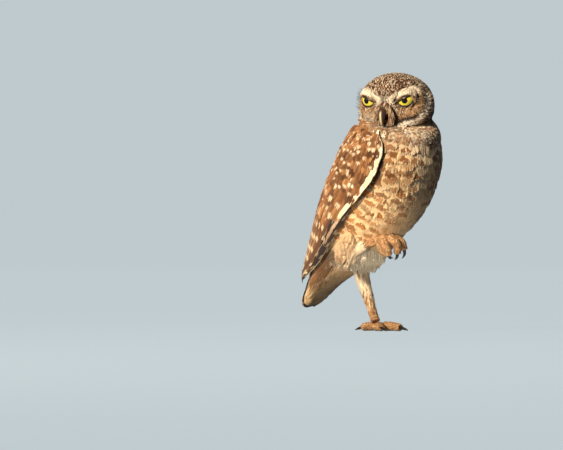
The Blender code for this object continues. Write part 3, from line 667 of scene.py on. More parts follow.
def body_colours(points, part, t, angle):
    """Ground and marks of the filling feathers of neck, torso, tail root and thighs."""
    n = len(points)
    around = abs(angle)
    patch = noise_at(points, 9.0, 1)
    back = ramp(around, 86, 100)
    low = ramp(6.0 - t, 0.0, 2.0)
    under = ramp(3.3 - t, 0.0, 0.6)
    upper = ramp(t, 5.9, 6.9) * (1 - back)
    ground = np.tile(np.array(BUFF), (n, 1))
    ground = blend(ground, BELLY, low)
    ground = blend(ground, BAR, upper * ramp(around, 14, 30) * (0.12 + 0.35 * patch))
    ground = blend(ground, FLANK, under * (1 - back))
    throat = ramp(t, 7.2, 7.8) * ramp(50 - around, 0, 14) * ramp(patch, 0.1, 0.5)
    ground = blend(ground, THROAT, throat * 0.9)
    parting = bump(angle, -9.0, 6.0) * ramp(t, 5.6, 6.4)
    ground = blend(ground, CREAM_WHITE, parting * 0.8)
    edge = table(WING_LOW, t)
    # Painted shadow of the wing's edge: a dark band on the flank just below it.
    shaded = bump(around, edge - 1, 7.0) * ramp(t, 3.0, 4.0) * ramp(8.2 - t, 0, 0.6)
    ground = blend(ground, tone(84, 50, 28), np.clip(shaded * 1.2, 0, 0.9))
    # Painted shade of the wing and tail on the low sides near the undertail.
    undertail_shade = ramp(3.7 - t, 0, 0.6) * ramp(around, 34, 48) * (1 - back)
    ground = blend(ground, tone(76, 50, 28), undertail_shade * 0.95)
    # Painted shade under the tail root, darker towards the tail.
    ground = blend(ground, tone(150, 104, 60), ramp(2.9 - t, 0, 1.0) * 0.75 * (1 - back))
    by_thigh = bump(angle, -12.0, 26.0) * ramp(4.2 - t, 0, 0.35) * ramp(t, 2.6, 3.0)
    ground = blend(ground, THIGH, np.clip(by_thigh * 1.6, 0, 1))
    # Painted light on the tail's buff tip: it is painted paler than its own colour, on the back side too.
    lit_pale_tail_tip = ramp(1.3 - t, 0, 0.35)
    ground = blend(ground, BACK, back * (1 - 0.8 * lit_pale_tail_tip))
    ground = blend(ground, tone(232, 190, 136), lit_pale_tail_tip * 0.85)
    fringe = bump(angle, -12.0, 20.0) * ramp(3.2 - t, 0, 0.5)
    ground = blend(ground, BELLY, np.clip(fringe * 1.2, 0, 0.8))
    # Painted shade in the same crease where it reaches the neck, on the bird's right side only.
    crease = (1 - ramp(off_line(to_head(points), CREASE_LINE), 2.0, 4.0)) * ramp(t, 8.8, 9.1)
    neck_side = ramp(t, 7.6, 8.3) * ramp(around, 40, 60) * (1 - back)
    ground = blend(ground, tone(196, 146, 98), neck_side * (0.4 + 0.4 * patch))
    high = ramp(t, 7.4, 8.2) * (1 - back)
    ground = blend(ground, varied(ground, (CREAM_WHITE, 0.45, 1.0), (BAR, 0.42, 0.95), (COLLAR, 0.24, 0.9)), high)
    ground = varied(ground, (CREAM_WHITE, 0.15, 0.35), (BAR, 0.12, 0.25))
    ground = blend(ground, CREASE_SHADE, crease * (angle < 0) * 0.95)
    mark = blend(np.tile(np.array(BAR), (n, 1)), FLECK, back)
    mark = blend(mark, COLLAR, neck_side)
    bars = neck_side * 0.7 + 0.55 * ramp(t, 7.4, 8.0) * (1 - back) * (patch > 0.45)
    bars = np.clip(bars + 0.35 * upper * (patch > 0.55), 0, 1)
    flecks = back * (rng.random(n) < 0.35)
    zero = np.zeros(n)
    dark = 0.5 * back + 0.08
    return ground, mark, np.stack([bars, zero, flecks], 1), np.stack([zero, dark, zero], 1)


def colours_at(points, part, t, angle):
    on_head = part == PART["head"]
    pairs = zip(head_colours(to_head(points)), body_colours(points, part, t, angle))
    return [np.where(on_head[:, None], h, b) for h, b in pairs]


print("colours at the brow", colours_at(from_head(np.array([[13.0, -25, 12]])), np.array([0]), np.array([9.0]),
                                        np.array([0.0]))[0].round(2))

# %% [markdown]
# ## Making feathers
# A soft feather is a fan of narrow locks that share one quill, so its end is ragged like a real one. A flight
# feather is one firm arched vane. Both are thin closed solids, and all of one region make one mesh.

# %% A mesh gathered from many feathers
LOCK_RING = np.array([(-1.0, -0.3), (0.0, 0.6), (1.0, -0.3)])
VANE_RING = np.array([(-1.0, -0.1), (-0.55, 0.5), (0.0, 0.75), (0.55, 0.5), (1.0, -0.1), (0.0, -0.25)])
VALUES = ("Ground", "Mark", "Pattern", "Shape", "Tone")


class Plumage:
    """Feathers of one region: their points, faces, UV maps and per-point values."""

    # How far the shading of a feather's edges turns aside. A small turn lets neighbours merge like down.
    TILT = 0.4

    def __init__(self, name, free=False):
        self.name = name
        # Free plumes hang clear of the body and are seen from both sides, so they keep their true normals.
        self.free = free
        self.points, self.faces, self.caps, self.normals = [], [], [], []
        self.vane_uv, self.bake_uv, self.soft = [], [], []
        self.values = {name: [] for name in VALUES}
        self.total = 0

    def add(self, path, out, half, ring, thick, arch, u, v, place, size, values):
        """Sweep a ring along each path. u and v tell where its sides lie on the whole feather, 0 to 1."""
        n, steps = path.shape[:2]
        sides = len(ring)
        ahead = unit(np.gradient(path, axis=1))
        flat = unit(np.cross(ahead, out))
        up = np.cross(flat, ahead)
        wide = half[:, :, None, None] * ring[None, None, :, :1]
        bend = 1 - ring[None, None, :, :1] ** 2
        rise = ring[None, None, :, 1:] * thick + bend * arch * half[:, :, None, None]
        points = path[:, :, None] + flat[:, :, None] * wide + up[:, :, None] * rise
        start = self.total + np.arange(n)[:, None, None] * steps * sides
        i = np.arange(steps - 1)[None, :, None] * sides
        j = np.arange(sides)[None, None, :]
        k = (j + 1) % sides
        quads = np.stack([start + i + j, start + i + k, start + i + sides + k, start + i + sides + j], -1)
        self.faces.append(quads.reshape(-1, 4))
        self.soft.append(sides == len(LOCK_RING))
        first = start[:, 0] + np.arange(sides)[::-1]
        self.caps.append((sides, first, start[:, 0] + (steps - 1) * sides + np.arange(sides)))
        self.points.append(points.reshape(-1, 3))
        tilt = np.broadcast_to(ring[None, None, :, :1], points.shape[:3] + (1,)) * self.TILT
        self.normals.append(unit(up[:, :, None] + flat[:, :, None] * tilt).reshape(-1, 3))
        vane = np.stack([u, np.broadcast_to(v[:, :, None], u.shape)], -1).reshape(-1, 2)
        self.vane_uv.append(vane)
        spot = np.repeat(place, steps * sides, axis=0)
        self.bake_uv.append(spot + (vane - 0.5) * np.repeat(size, steps * sides, axis=0))
        for name, value in zip(VALUES, values):
            self.values[name].append(np.repeat(value, steps * sides, axis=0))
        self.total += n * steps * sides

    def build(self, finish):
        points = np.concatenate(self.points) * MM
        polygons = [quads.astype(np.int32).ravel() for quads in self.faces]
        sizes = [np.full(len(quads), 4) for quads in self.faces]
        kinds = [np.full(len(quads), soft) for quads, soft in zip(self.faces, self.soft)]
        for (sides, first, last), soft in zip(self.caps, self.soft):
            for ends in (first, last):
                polygons.append(ends.astype(np.int32).ravel())
                sizes.append(np.full(len(ends), sides))
                kinds.append(np.full(len(ends), soft))
        corners, sizes, kinds = np.concatenate(polygons), np.concatenate(sizes), np.concatenate(kinds)
        mesh = bpy.data.meshes.new(self.name)
        mesh.vertices.add(len(points))
        mesh.vertices.foreach_set("co", points.ravel())
        mesh.loops.add(len(corners))
        mesh.loops.foreach_set("vertex_index", corners)
        mesh.polygons.add(len(sizes))
        mesh.polygons.foreach_set("loop_start", np.concatenate([[0], np.cumsum(sizes)[:-1]]))
        mesh.polygons.foreach_set("use_smooth", np.ones(len(sizes), bool))
        finishes = finish if isinstance(finish, tuple) else (finish,)
        for kind in finishes:
            mesh.materials.append(kind)
        if len(finishes) > 1:
            mesh.polygons.foreach_set("material_index", kinds.astype(np.int32))
        mesh.update(calc_edges=True)
        if not self.free:
            mesh.normals_split_custom_set_from_vertices(np.concatenate(self.normals).tolist())
        for name, values in (("OFBake", self.bake_uv), ("Vane", self.vane_uv)):
            layer = mesh.uv_layers.new(name=name)
            layer.data.foreach_set("uv", np.concatenate(values)[corners].astype(np.float32).ravel())
        for name, values in self.values.items():
            values = np.concatenate(values)
            if values.ndim == 1:
                mesh.attributes.new(name, "FLOAT", "POINT").data.foreach_set("value", values)
            else:
                mesh.attributes.new(name, "FLOAT_VECTOR", "POINT").data.foreach_set(
                    "vector", values.astype(np.float32).ravel())
        made = bpy.data.objects.new(self.name, mesh)
        bpy.context.scene.collection.objects.link(made)
        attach(made, "root")
        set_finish(made, "plumage")
        mesh.calc_loop_triangles()
        print(self.name, len(mesh.loop_triangles), "triangles")
        return made


def along_skin(start, lie, length, steps, stand, sunk=0.35):
    """Paths that follow the skin from their roots, sunk at the root and standing off at the tip."""
    n = len(start)
    path, out = np.empty((n, steps, 3)), np.empty((n, steps, 3))
    point, direction = start.copy(), lie.copy()
    for step in range(steps):
        foot, normal = nearest_on_skin(point)
        share = step / (steps - 1)
        height = -sunk + (stand + sunk) * share**0.75
        path[:, step] = foot + normal * height[:, None]
        out[:, step] = normal
        direction = unit(direction - normal * (direction * normal).sum(1)[:, None])
        point = foot + direction * (length / (steps - 1))[:, None]
    return path, out


def resampled(values, shares):
    """Read paths of evenly spaced steps at other shares of their length, per path."""
    last = values.shape[1] - 1
    place = np.clip(shares * last, 0, last)
    i = np.minimum(place.astype(int), last - 1)
    f = (place - i)[..., None]
    rows = np.arange(len(values))[:, None]
    return values[rows, i] * (1 - f) + values[rows, i + 1] * f


LOCK_STEPS = np.array([0.0, 0.4, 0.72, 1.0])
LOCK_HALF = np.array([0.35, 1.0, 0.85, 0.12])


def add_soft(plumage, path, out, width, locks, place, size, values, thick=0.2, ragged=0.22, loose=0.08, arch=0.05,
             fill=1.9):
    """Feathers as fans of locks that spread from one quill."""
    n = len(path)
    ahead = unit(np.gradient(path, axis=1))
    flat = unit(np.cross(ahead, out))
    offsets = np.linspace(-1, 1, locks) * (1 - 1 / locks) if locks > 1 else np.zeros(1)
    for offset in offsets:
        aside = offset + rng.normal(0, 0.07, n)
        reach = 1 - ragged * abs(aside) ** 1.5 - rng.random(n) * ragged * 0.7
        shares = LOCK_STEPS[None, :] * reach[:, None]
        spread = 0.3 + 0.7 * np.minimum(1, shares / 0.55)
        middle = resampled(path, shares)
        lean = resampled(flat, shares)
        normal = unit(resampled(out, shares))
        middle = middle + lean * (aside[:, None] * spread * width[:, None] / 2)[..., None]
        middle = middle + normal * (loose * rng.normal(0, 1, n)[:, None] * shares)[..., None]
        lock_half = (width / 2 / locks * (fill if locks > 1 else 1.0))[:, None] * LOCK_HALF[None, :]
        share = 0.65 / locks if locks > 1 else 0.5
        u = 0.5 + 0.5 * aside[:, None, None] + share * LOCK_HALF[None, :, None] * LOCK_RING[:, 0]
        plumage.add(middle, normal, lock_half, LOCK_RING, thick, arch, np.clip(u, 0, 1), shares, place, size,
                    values)


def add_firm(plumage, path, out, half, place, size, values, thick=0.45, arch=0.16, roll=0.0):
    """Flight feathers: one arched vane each, its outline given as half widths along the way."""
    ahead = unit(np.gradient(path, axis=1))
    flat = unit(np.cross(ahead, out))
    roll = np.radians(np.broadcast_to(roll, len(path)))[:, None, None]
    out = out * np.cos(roll) + flat * np.sin(roll)
    share = half / half.max(axis=1, keepdims=True)
    u = 0.5 + 0.5 * share[:, :, None] * VANE_RING[:, 0]
    v = np.broadcast_to(np.linspace(0, 1, path.shape[1]), half.shape)
    plumage.add(path, out, half, VANE_RING, thick, arch, u, v, place, size, values)


print("a lock has", len(LOCK_RING), "sides and a vane", len(VANE_RING))

# %% [markdown]
# ## Finishes for feathers
# The marks are drawn over the feather's own length and width: a bar near the tip, paired oval spots, a pale
# shaft streak. Fine barbs run out from the shaft to the edges, and a darker middle sets the rim off.

# %% The soft plumage and the firm feathers
def barbs(u, v):
    """Fine slanted lines that fade between 0 and 1, as barbs do."""
    away = abs(u - 0.5)
    lines = ((v * 60 - away * 46) + u.wave() * 2).wave()
    return lines * 0.5 + 0.5


def lit(recipe, colour, light):
    level = recipe.node("ShaderNodeCombineXYZ", None, {0: light, 1: light, 2: light})
    return recipe.mix(1.0, colour, level, "MULTIPLY")


def plumage_finish():
    recipe = Recipe("soft_plumage", Roughness=0.85, Specular_IOR_Level=0.15, Sheen_Weight=0.2,
                    Sheen_Roughness=0.5)
    u, v, _ = recipe.parts(recipe.node("ShaderNodeUVMap", {"uv_map": "Vane"}))
    bar, spots, fleck = recipe.parts(recipe.read("Pattern", 1))
    bar_wide, dark, spot_size = recipe.parts(recipe.read("Shape", 1))
    shade = recipe.read("Tone", 2)
    away = abs(u - 0.5) * 2
    bent = v + (shade * 40 + u * 11).wave() * 0.045
    taper = away**2 * (shade * 0.16 + 0.17)
    start = 0.66 - bar_wide * 0.2 + taper * 0.8
    barred = recipe.node("ShaderNodeMapRange", {"interpolation_type": "SMOOTHSTEP"},
                         {0: bent, 1: start, 2: start + 0.06, 3: 0.0, 4: 1.0})
    barred = barred * (1 - (bent + taper * 0.5).rise(0.84, 0.92)) * (1 - away.rise(0.8, 0.95)) * bar
    oval = (((away - 0.50) / (spot_size * 0.34 + 0.02)) ** 2 + ((v - 0.74) / (spot_size * 0.15 + 0.01)) ** 2)
    spotted = (1 - oval.rise(0.7, 1.2)) * spots
    streak = (1 - away.rise(0.3, 0.7)) * v.rise(0.58, 0.75) * fleck
    marked = barred.most(spotted).most(streak).least(1.0)
    ground = recipe.read("Ground", 0)
    middle = (1 - away.rise(0.2, 0.75)) * (1 - v.rise(0.82, 0.95)) * dark
    ground = recipe.mix(middle * 0.75, ground, lit(recipe, ground, 0.35 + v * 0))
    colour = recipe.mix(marked, ground, recipe.read("Mark", 0))
    return recipe.set(Base_Color=lit(recipe, colour, (barbs(u, v) * 0.10 + 0.95) * (shade * 0.34 + 0.83)))


def firm_finish():
    """Firm feathers: x of the pattern draws pale bars across, y the paired spots, z the pale rim and tip."""
    recipe = Recipe("flight_feather", Roughness=0.62, Specular_IOR_Level=0.3, Sheen_Weight=0.15)
    u, v, _ = recipe.parts(recipe.node("ShaderNodeUVMap", {"uv_map": "Vane"}))
    bars, spots, rim = recipe.parts(recipe.read("Pattern", 1))
    _, dark, spot_size = recipe.parts(recipe.read("Shape", 1))
    shade = recipe.read("Tone", 2)
    away = abs(u - 0.5) * 2
    run = (v * 7.0 + shade + away * 0.25).fraction()
    barred = (1 - (abs(run - 0.5) * 2).rise(0.22, 0.42)) * away.rise(0.25, 0.5) * bars
    oval = (((away - 0.5) / (spot_size * 0.36 + 0.02)) ** 2 + ((v - 0.86) / (spot_size * 0.08 + 0.01)) ** 2)
    spotted = (1 - oval.rise(0.7, 1.2)) * spots
    edge = away.rise(0.80, 0.94).most(v.rise(0.94, 0.98)) * rim
    marked = barred.most(spotted).most(edge).least(1.0)
    middle = (1 - away.rise(0.1, 0.75)) * dark
    ground = recipe.mix(middle, recipe.read("Ground", 0), WING_BLACK)
    shaft = 1 - away.rise(0.03, 0.07)
    ground = recipe.mix(shaft * 0.5, ground, tone(60, 38, 24))
    colour = recipe.mix(marked, ground, recipe.read("Mark", 0))
    return recipe.set(Base_Color=lit(recipe, colour, (barbs(u, v) * 0.14 + 0.93) * (shade * 0.36 + 0.82)))


def skin_finish():
    recipe = Recipe("skin_under_plumage", Roughness=0.9, Specular_IOR_Level=0.1)
    down = recipe.node("ShaderNodeTexNoise", {"noise_dimensions": "3D"}, {"Scale": 900.0, "Detail": 2.0})
    colour = recipe.mix(down * 0.25, recipe.read("Ground", 0), tone(96, 68, 46))
    return recipe.set(Base_Color=colour)


PLUMAGE_FINISH, FIRM_FINISH, SKIN_FINISH = plumage_finish(), firm_finish(), skin_finish()
FEATHER_FINISH = (FIRM_FINISH, PLUMAGE_FINISH)
skin_ground = colours_at(skin_points, skin_part, skin_t, skin_angle)[0] * 0.8
layer = skin.data.attributes.new("Ground", "FLOAT_VECTOR", "POINT")
layer.data.foreach_set("vector", skin_ground.astype(np.float32).ravel())
skin.data.materials.clear()
skin.data.materials.append(SKIN_FINISH)
print("finishes made:", [m.name for m in (PLUMAGE_FINISH, FIRM_FINISH, SKIN_FINISH)])

# %% [markdown]
# ## The soft coat
# The roots are split into regions so that no mesh grows too large. Head feathers are single small locks, and
# breast and back feathers are fans of three, which leave broken, fluffy ends.

# %% Filling feathers on head, neck, body, belly and thighs
def head_patch(points):
    """Where a place of the head lies on the head's unwrap, by its turn and rise from the middle."""
    q = to_head(points)
    azimuth = np.degrees(np.arctan2(q[:, 0], -q[:, 1]))
    rise = np.degrees(np.arctan2(q[:, 2], np.hypot(q[:, 0], q[:, 1])))
    return np.stack([0.02 + 0.96 * (azimuth + 180) / 360, 0.02 + 0.96 * (rise + 90) / 180], 1)


def body_patch(t, angle):
    return np.stack([0.02 + 0.96 * (angle + 180) / 360, 0.02 + 0.96 * t / 10], 1)


FACE_FORWARD = HEAD_AXES @ np.array([0.0, -1.0, 0.1])


def turned_forward(points, part):
    """How far the feathers of the face, and most of all its rim, turn to face forward."""
    q = to_head(points)
    rim = 1 - ramp(off_line(q, RUFF_LINE), 3.0, 6.0)
    face = ramp(-q[:, 1], 2.0, 8.0) * ramp(abs(q[:, 0]), 14, 24)
    return np.where(part == PART["head"], 1.5 * rim + 0.5 * face, 0.6 * rim)


def add_on_skin(coat, start, part, t, angle, locks, patch, thick, lie=None, sizes=None, marks=None, **shape):
    """Soft feathers from roots on the skin, coloured for the place where they show."""
    _, length, width, stand = sizes_at(start, part, t, angle)
    if sizes is not None:
        length, width, stand = sizes
    if lie is None:
        lie = lie_at(start, part, t, angle)
    lie = unit(lie + rng.normal(0, 0.06, start.shape))
    path, out = along_skin(start, lie, length * rng.uniform(0.85, 1.1, len(start)), 5, stand)
    turn = turned_forward(start, part)[:, None, None]
    out = unit(out + FACE_FORWARD * turn)
    seen = path[:, 3]
    seen_t, seen_angle = place_on_body(seen)
    ground, mark, pattern, form = colours_at(seen, part, seen_t, seen_angle)
    if marks is not None:
        ground, mark, pattern, form = marks(seen_t, seen_angle, ground, mark, pattern, form)
    shade = rng.random(len(start))
    on_head = part == PART["head"]
    place = np.where(on_head[:, None], head_patch(start), body_patch(t, angle))
    add_soft(coat, path, out, width, locks, place, np.full((len(start), 2), patch),
             (ground, mark, pattern, form, shade), thick, **shape)


front = abs(root_angle) < 88
on_head = root_part == PART["head"]
face_front = on_head & (to_head(roots)[:, 1] < -4)
REGIONS = {
    "coat_face": (face_front, 1, 0.003, 0.13),
    "coat_crown": (on_head & ~face_front, 1, 0.003, 0.15),
    "coat_neck": (root_t > 7.5, 3, 0.004, 0.14),
    "coat_breast": (front & (root_t > 5.6), 5, 0.004, 0.16),
    "coat_belly": (front & (root_t <= 5.6), 4, 0.004, 0.16),
    "coat_back": (~front, 3, 0.004, 0.16),
}
done = np.zeros(len(roots), bool)
for name, (member, locks, patch, thick) in REGIONS.items():
    chosen = np.flatnonzero(member & ~done)
    done[chosen] = True
    coat = Plumage(name)
    add_on_skin(coat, roots[chosen], root_part[chosen], root_t[chosen], root_angle[chosen], locks, patch, thick)
    coat.build(PLUMAGE_FINISH)
    print(name, len(chosen), "feathers")

# %% [markdown]
# ## The barred feathers
# The breast's bars sit on broad feathers in staggered rows, with plain cream between them. They are laid over
# the filling feathers. High on the breast the bars are broad and brown, and lower they grow thin and tawny.

# %% Staggered rows of broad feathers
def staggered(t_from, t_to, row, pitch, angle_from, angle_to):
    """Roots in offset rows over the body: row and pitch are distances in mm along and across it."""
    places = []
    t, odd = t_from, False
    while t > t_to:
        width, depth = smooth_rows(SPINE, t)[2:4]
        step = math.degrees(pitch(t) / ((width + depth) / 2))
        angles = np.arange(angle_from + (step / 2 if odd else 0), angle_to, step)
        places += [(t, a) for a in angles]
        along = np.linalg.norm(carrier_point(t - 0.5, 0.0) - carrier_point(t + 0.5, 0.0))
        t -= row(t) / float(along)
        odd = not odd
    places = np.array(places)
    places[:, 0] += rng.normal(0, 0.075, len(places))
    places[:, 1] += rng.normal(0, 3.2, len(places))
    return places


def carrier_roots(places):
    start, _ = nearest_on_skin(carrier_point(places[:, 0], places[:, 1]))
    return start


def bar_marks(seen_t, seen_angle, ground, mark, pattern, form):
    around = abs(seen_angle)
    upper = ramp(seen_t, 5.7, 6.8)
    lowest = 3.55 + 0.6 * bump(seen_angle, -12.0, 26.0)
    bars = ramp(seen_t, lowest, lowest + 0.35) * ramp(8.6 - seen_t, 0, 0.3) * (1 - ramp(around, 86, 96))
    inner = 12 + 20 * ramp(6.2 - seen_t, 0, 2.0)
    bars *= np.where(rng.random(len(seen_t)) < 0.93, 1, 0) * ramp(around, inner - 8, inner)
    mark = blend(np.tile(np.array(BAR_LOW), (len(seen_t), 1)), BAR, upper)
    mark = varied(mark, (tone(104, 60, 30), 0.5, 0.7), (BUFF, 0.15, 0.35))
    pattern = np.stack([bars * rng.uniform(0.75, 1.0, len(bars)), bars * 0, bars * 0], 1)
    form = np.stack([1.05 + 0.15 * upper, np.full(len(bars), 0.05), bars * 0], 1)
    # gap is the band of painted shadow under the wing's edge: there the bars are left out and the darker ground is
    # kept.
    gap = bump(around, table(WING_LOW, seen_t) - 1, 7.0) * ramp(seen_t, 3.0, 4.0)
    plain = blend(ground, BELLY, 0.55 * (1 - gap))
    bars *= 1 - gap
    return plain, mark, pattern, form


rows = staggered(8.45, 4.0, lambda t: 5.6 if t > 6.4 else 6.2, lambda t: 9.8 if t > 6.4 else 12.5, -100, 101)
barred_start = carrier_roots(rows)
barred = Plumage("coat_barred")
near = np.full(len(rows), PART["torso"])
broad = (np.full(len(rows), 12.0), np.where(rows[:, 0] > 6.4, 10.4, 12.0), np.full(len(rows), 1.9))
add_on_skin(barred, barred_start, near, rows[:, 0], rows[:, 1], 7, 0.008, 0.14, sizes=broad, marks=bar_marks,
            ragged=0.16, loose=0.04, arch=0.02, fill=2.5)
barred.build(PLUMAGE_FINISH)
print("barred feathers", len(rows))


def back_marks(seen_t, seen_angle, ground, mark, pattern, form):
    n = len(seen_t)
    spots = np.where(rng.random(n) < 0.75, 1.0, 0.4)
    zero = np.zeros(n)
    return (blend(np.tile(np.array(BACK), (n, 1)), WING_DARK, 0.35 * rng.random(n)),
            np.tile(np.array(WING_SPOT), (n, 1)), np.stack([zero, spots, zero], 1),
            np.stack([zero, zero + 0.5, rng.uniform(0.5, 0.85, n)], 1))


rows = staggered(8.7, 2.6, lambda t: 7.2, lambda t: 8.4, 104, 257)
rows[:, 1] = np.where(rows[:, 1] > 180, rows[:, 1] - 360, rows[:, 1])
mantle = Plumage("coat_mantle")
near = np.full(len(rows), PART["torso"])
broad = (np.full(len(rows), 13.5), np.full(len(rows), 9.0), np.full(len(rows), 2.2))
add_on_skin(mantle, carrier_roots(rows), near, rows[:, 0], rows[:, 1], 6, 0.008, 0.24, sizes=broad,
            marks=back_marks, ragged=0.14)
mantle.build(PLUMAGE_FINISH)
print("mantle feathers", len(rows))

# %% [markdown]
# ## The folded wings
# A wing lies in tiers like roof tiles: long primaries and secondaries lowest, then greater, median and lesser
# coverts, and the shoulder's own feathers over them. A place on the wing is given by t along the body and by
# how far across it lies from the wing's lower edge to its upper edge.

# %% The wing's own surface
WING_HIGH = ((0.8, 172), (1.7, 172), (3.9, 172), (6.5, 171), (7.4, 166), (8.0, 152), (8.5, 118))
WING_STAND_OFF = ((0.8, 0.4), (2.8, 2.6), (4.8, 3.4), (6.5, 2.2), (8.5, 0.0))
CORE_THICK = ((3.5, 0.7), (4.5, 1.9), (6.5, 2.9), (7.6, 2.2), (8.4, 0.9))
T_CORE_END, T_WING_TOP = 3.5, 8.4


def wing_point(t, across, lift, side=1):
    low, high = table(WING_LOW, t), table(WING_HIGH, t)
    stand_off = table(WING_STAND_OFF, t) * (1 - np.clip(across, 0, 1)) ** 1.5
    point = carrier_point(t, low + (high - low) * across, lift + stand_off)
    if side < 0:
        point[..., 0] = 2 * MID_X - point[..., 0]
    return point


def core_height(t, across):
    swell = 0.35 + 0.65 * np.sqrt(np.maximum(0, 1 - (2 * np.clip(across, 0, 1) - 1) ** 4))
    return 0.6 + table(CORE_THICK, t) * swell


def wing_core(side, along=36, wide=18, lower=0.7):
    """The arm and hand under the feathers, a closed cushion over the body."""
    t, v = np.meshgrid(np.linspace(T_WING_TOP, T_CORE_END, along), np.linspace(0.02, 0.98, wide), indexing="ij")
    upper = wing_point(t, v, core_height(t, v) - lower, side).reshape(-1, 3)
    under = wing_point(t, v, np.where(t > 6.0, -1.0, 0.2), side).reshape(-1, 3)
    n = along * wide
    faces = []
    for i in range(along - 1):
        for j in range(wide - 1):
            a = i * wide + j
            faces.append((a, a + 1, a + 1 + wide, a + wide))
            faces.append((n + a + wide, n + a + 1 + wide, n + a + 1, n + a))
    rim = list(range(wide)) + [i * wide + wide - 1 for i in range(1, along)]
    rim += [(along - 1) * wide + j for j in range(wide - 2, -1, -1)] + [i * wide for i in range(along - 2, 0, -1)]
    faces += [(b, a, n + a, n + b) for a, b in zip(rim, rim[1:] + rim[:1])]
    return np.concatenate([upper, under]), faces


def plain_mesh(name, points, faces, finish, slot):
    mesh = bpy.data.meshes.new(name)
    mesh.from_pydata([tuple(p) for p in np.asarray(points) * MM], [], [tuple(map(int, f)) for f in faces])
    made = bpy.data.objects.new(name, mesh)
    bpy.context.scene.collection.objects.link(made)
    tidy = bmesh.new()
    tidy.from_mesh(mesh)
    bmesh.ops.recalc_face_normals(tidy, faces=tidy.faces)
    tidy.to_mesh(mesh)
    tidy.free()
    mesh.polygons.foreach_set("use_smooth", np.ones(len(mesh.polygons), bool))
    mesh.materials.append(finish)
    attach(made, "root")
    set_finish(made, slot)
    return made


# The firm tiers: name, count, root of the first and last (t, across), tip of the first and last, height of
# the tips, widths, ground colour and pattern (bars, spots, rim).
TIERS = (
    ("primaries", 10, (5.2, -0.03), (4.6, 0.36), (1.0, 0.30), (1.6, 0.42), (0.9, 1.1), (6.4, 8.5),
     WING_BLACK, (0.35, 0.0, 1.0)),
    ("secondaries", 12, (4.9, 0.09), (4.5, 0.92), (1.25, 0.36), (1.85, 0.90), (1.8, 1.2), (11.0, 12.5),
     tone(142, 92, 54), (0.95, 0.6, 0.7)),
)
FIRM_STEPS = 13
firm_share = np.linspace(0, 1, FIRM_STEPS)
FIRM_HALF = np.interp(firm_share, (0, 0.15, 0.5, 0.8, 0.92, 0.98, 1), (0.3, 0.7, 0.95, 1.0, 0.8, 0.42, 0.08))


def wing_tier(plumage, side, count, root_a, root_b, tip_a, tip_b, heights, widths, ground, pattern, cell):
    f = np.linspace(0, 1, count)
    jog = rng.normal(0, 1, (2, count))
    root_t = root_a[0] + (root_b[0] - root_a[0]) * f
    root_v = root_a[1] + (root_b[1] - root_a[1]) * f
    tip_t = tip_a[0] + (tip_b[0] - tip_a[0]) * f + 0.05 * jog[0]
    tip_v = tip_a[1] + (tip_b[1] - tip_a[1]) * f + 0.008 * jog[1]
    height = heights[0] + (heights[1] - heights[0]) * f
    wide = widths[0] + (widths[1] - widths[0]) * f
    s = firm_share[None, :]
    t = root_t[:, None] + (tip_t - root_t)[:, None] * s
    v = root_v[:, None] + (tip_v - root_v)[:, None] * s ** (3.4 - 2.4 * f[:, None] ** 0.5)
    start = (core_height(root_t, root_v) - 1.2)[:, None]
    lift = start + (height[:, None] - start) * s**0.8
    path = wing_point(t, v, lift, side)
    out = unit(wing_point(t, v, lift + 1, side) - path)
    gap = np.linalg.norm(path[0, -1] - path[-1, -1]) / max(1, count - 1)
    roll = min(16.0, math.degrees(math.atan(0.75 / gap))) * (1 - 0.8 * f**4) * side
    shades = rng.random(count)
    number = cell + np.arange(count)
    place = np.stack([(number % 6 + 0.5) / 6, 0.5 + (number // 6 + 0.5) / 8], 1)
    size = np.tile([0.15, 0.115], (count, 1))
    zero = np.zeros(count)
    values = (np.tile(np.array(ground), (count, 1)), np.tile(np.array(WING_RIM), (count, 1)),
              np.tile(np.array(pattern, float), (count, 1)), np.stack([zero, zero + 0.5, zero + 0.6], 1), shades)
    add_firm(plumage, path, out, wide[:, None] / 2 * FIRM_HALF, place, size, values, roll=roll)
    return cell + count


def covert_marks(t, v, rows_seed):
    """Ground, mark, pattern and shape of the coverts at places of the wing."""
    n = len(t)
    near_edge = bump(v, 0.13, 0.08) * ramp(t, 3.4, 4.2) * ramp(7.6 - t, 0, 0.6)
    ground = varied(np.tile(np.array(WING_BROWN), (n, 1)), (tone(208, 150, 92), 0.5, 0.75),
                    (WING_DARK, 0.6, 0.9))
    big = rng.random(n) < 0.022 + 0.26 * near_edge
    spots = np.where(big, 1.0, 0.6 * (rng.random(n) < 0.05))
    size = np.where(big, 0.60 + 0.62 * near_edge, 0.36) * rng.uniform(0.85, 1.2, n)
    flecks = np.where(rng.random(n) < 0.42 + 0.2 * ramp(t, 6.6, 7.4), 0.85, 0.0)
    mark = blend(np.tile(np.array(FLECK), (n, 1)), WING_SPOT, big * (0.2 + 0.6 * rng.random(n)))
    zero = np.zeros(n)
    return (ground, mark, np.stack([zero, spots, flecks], 1), np.stack([zero, zero + 0.8, size], 1))


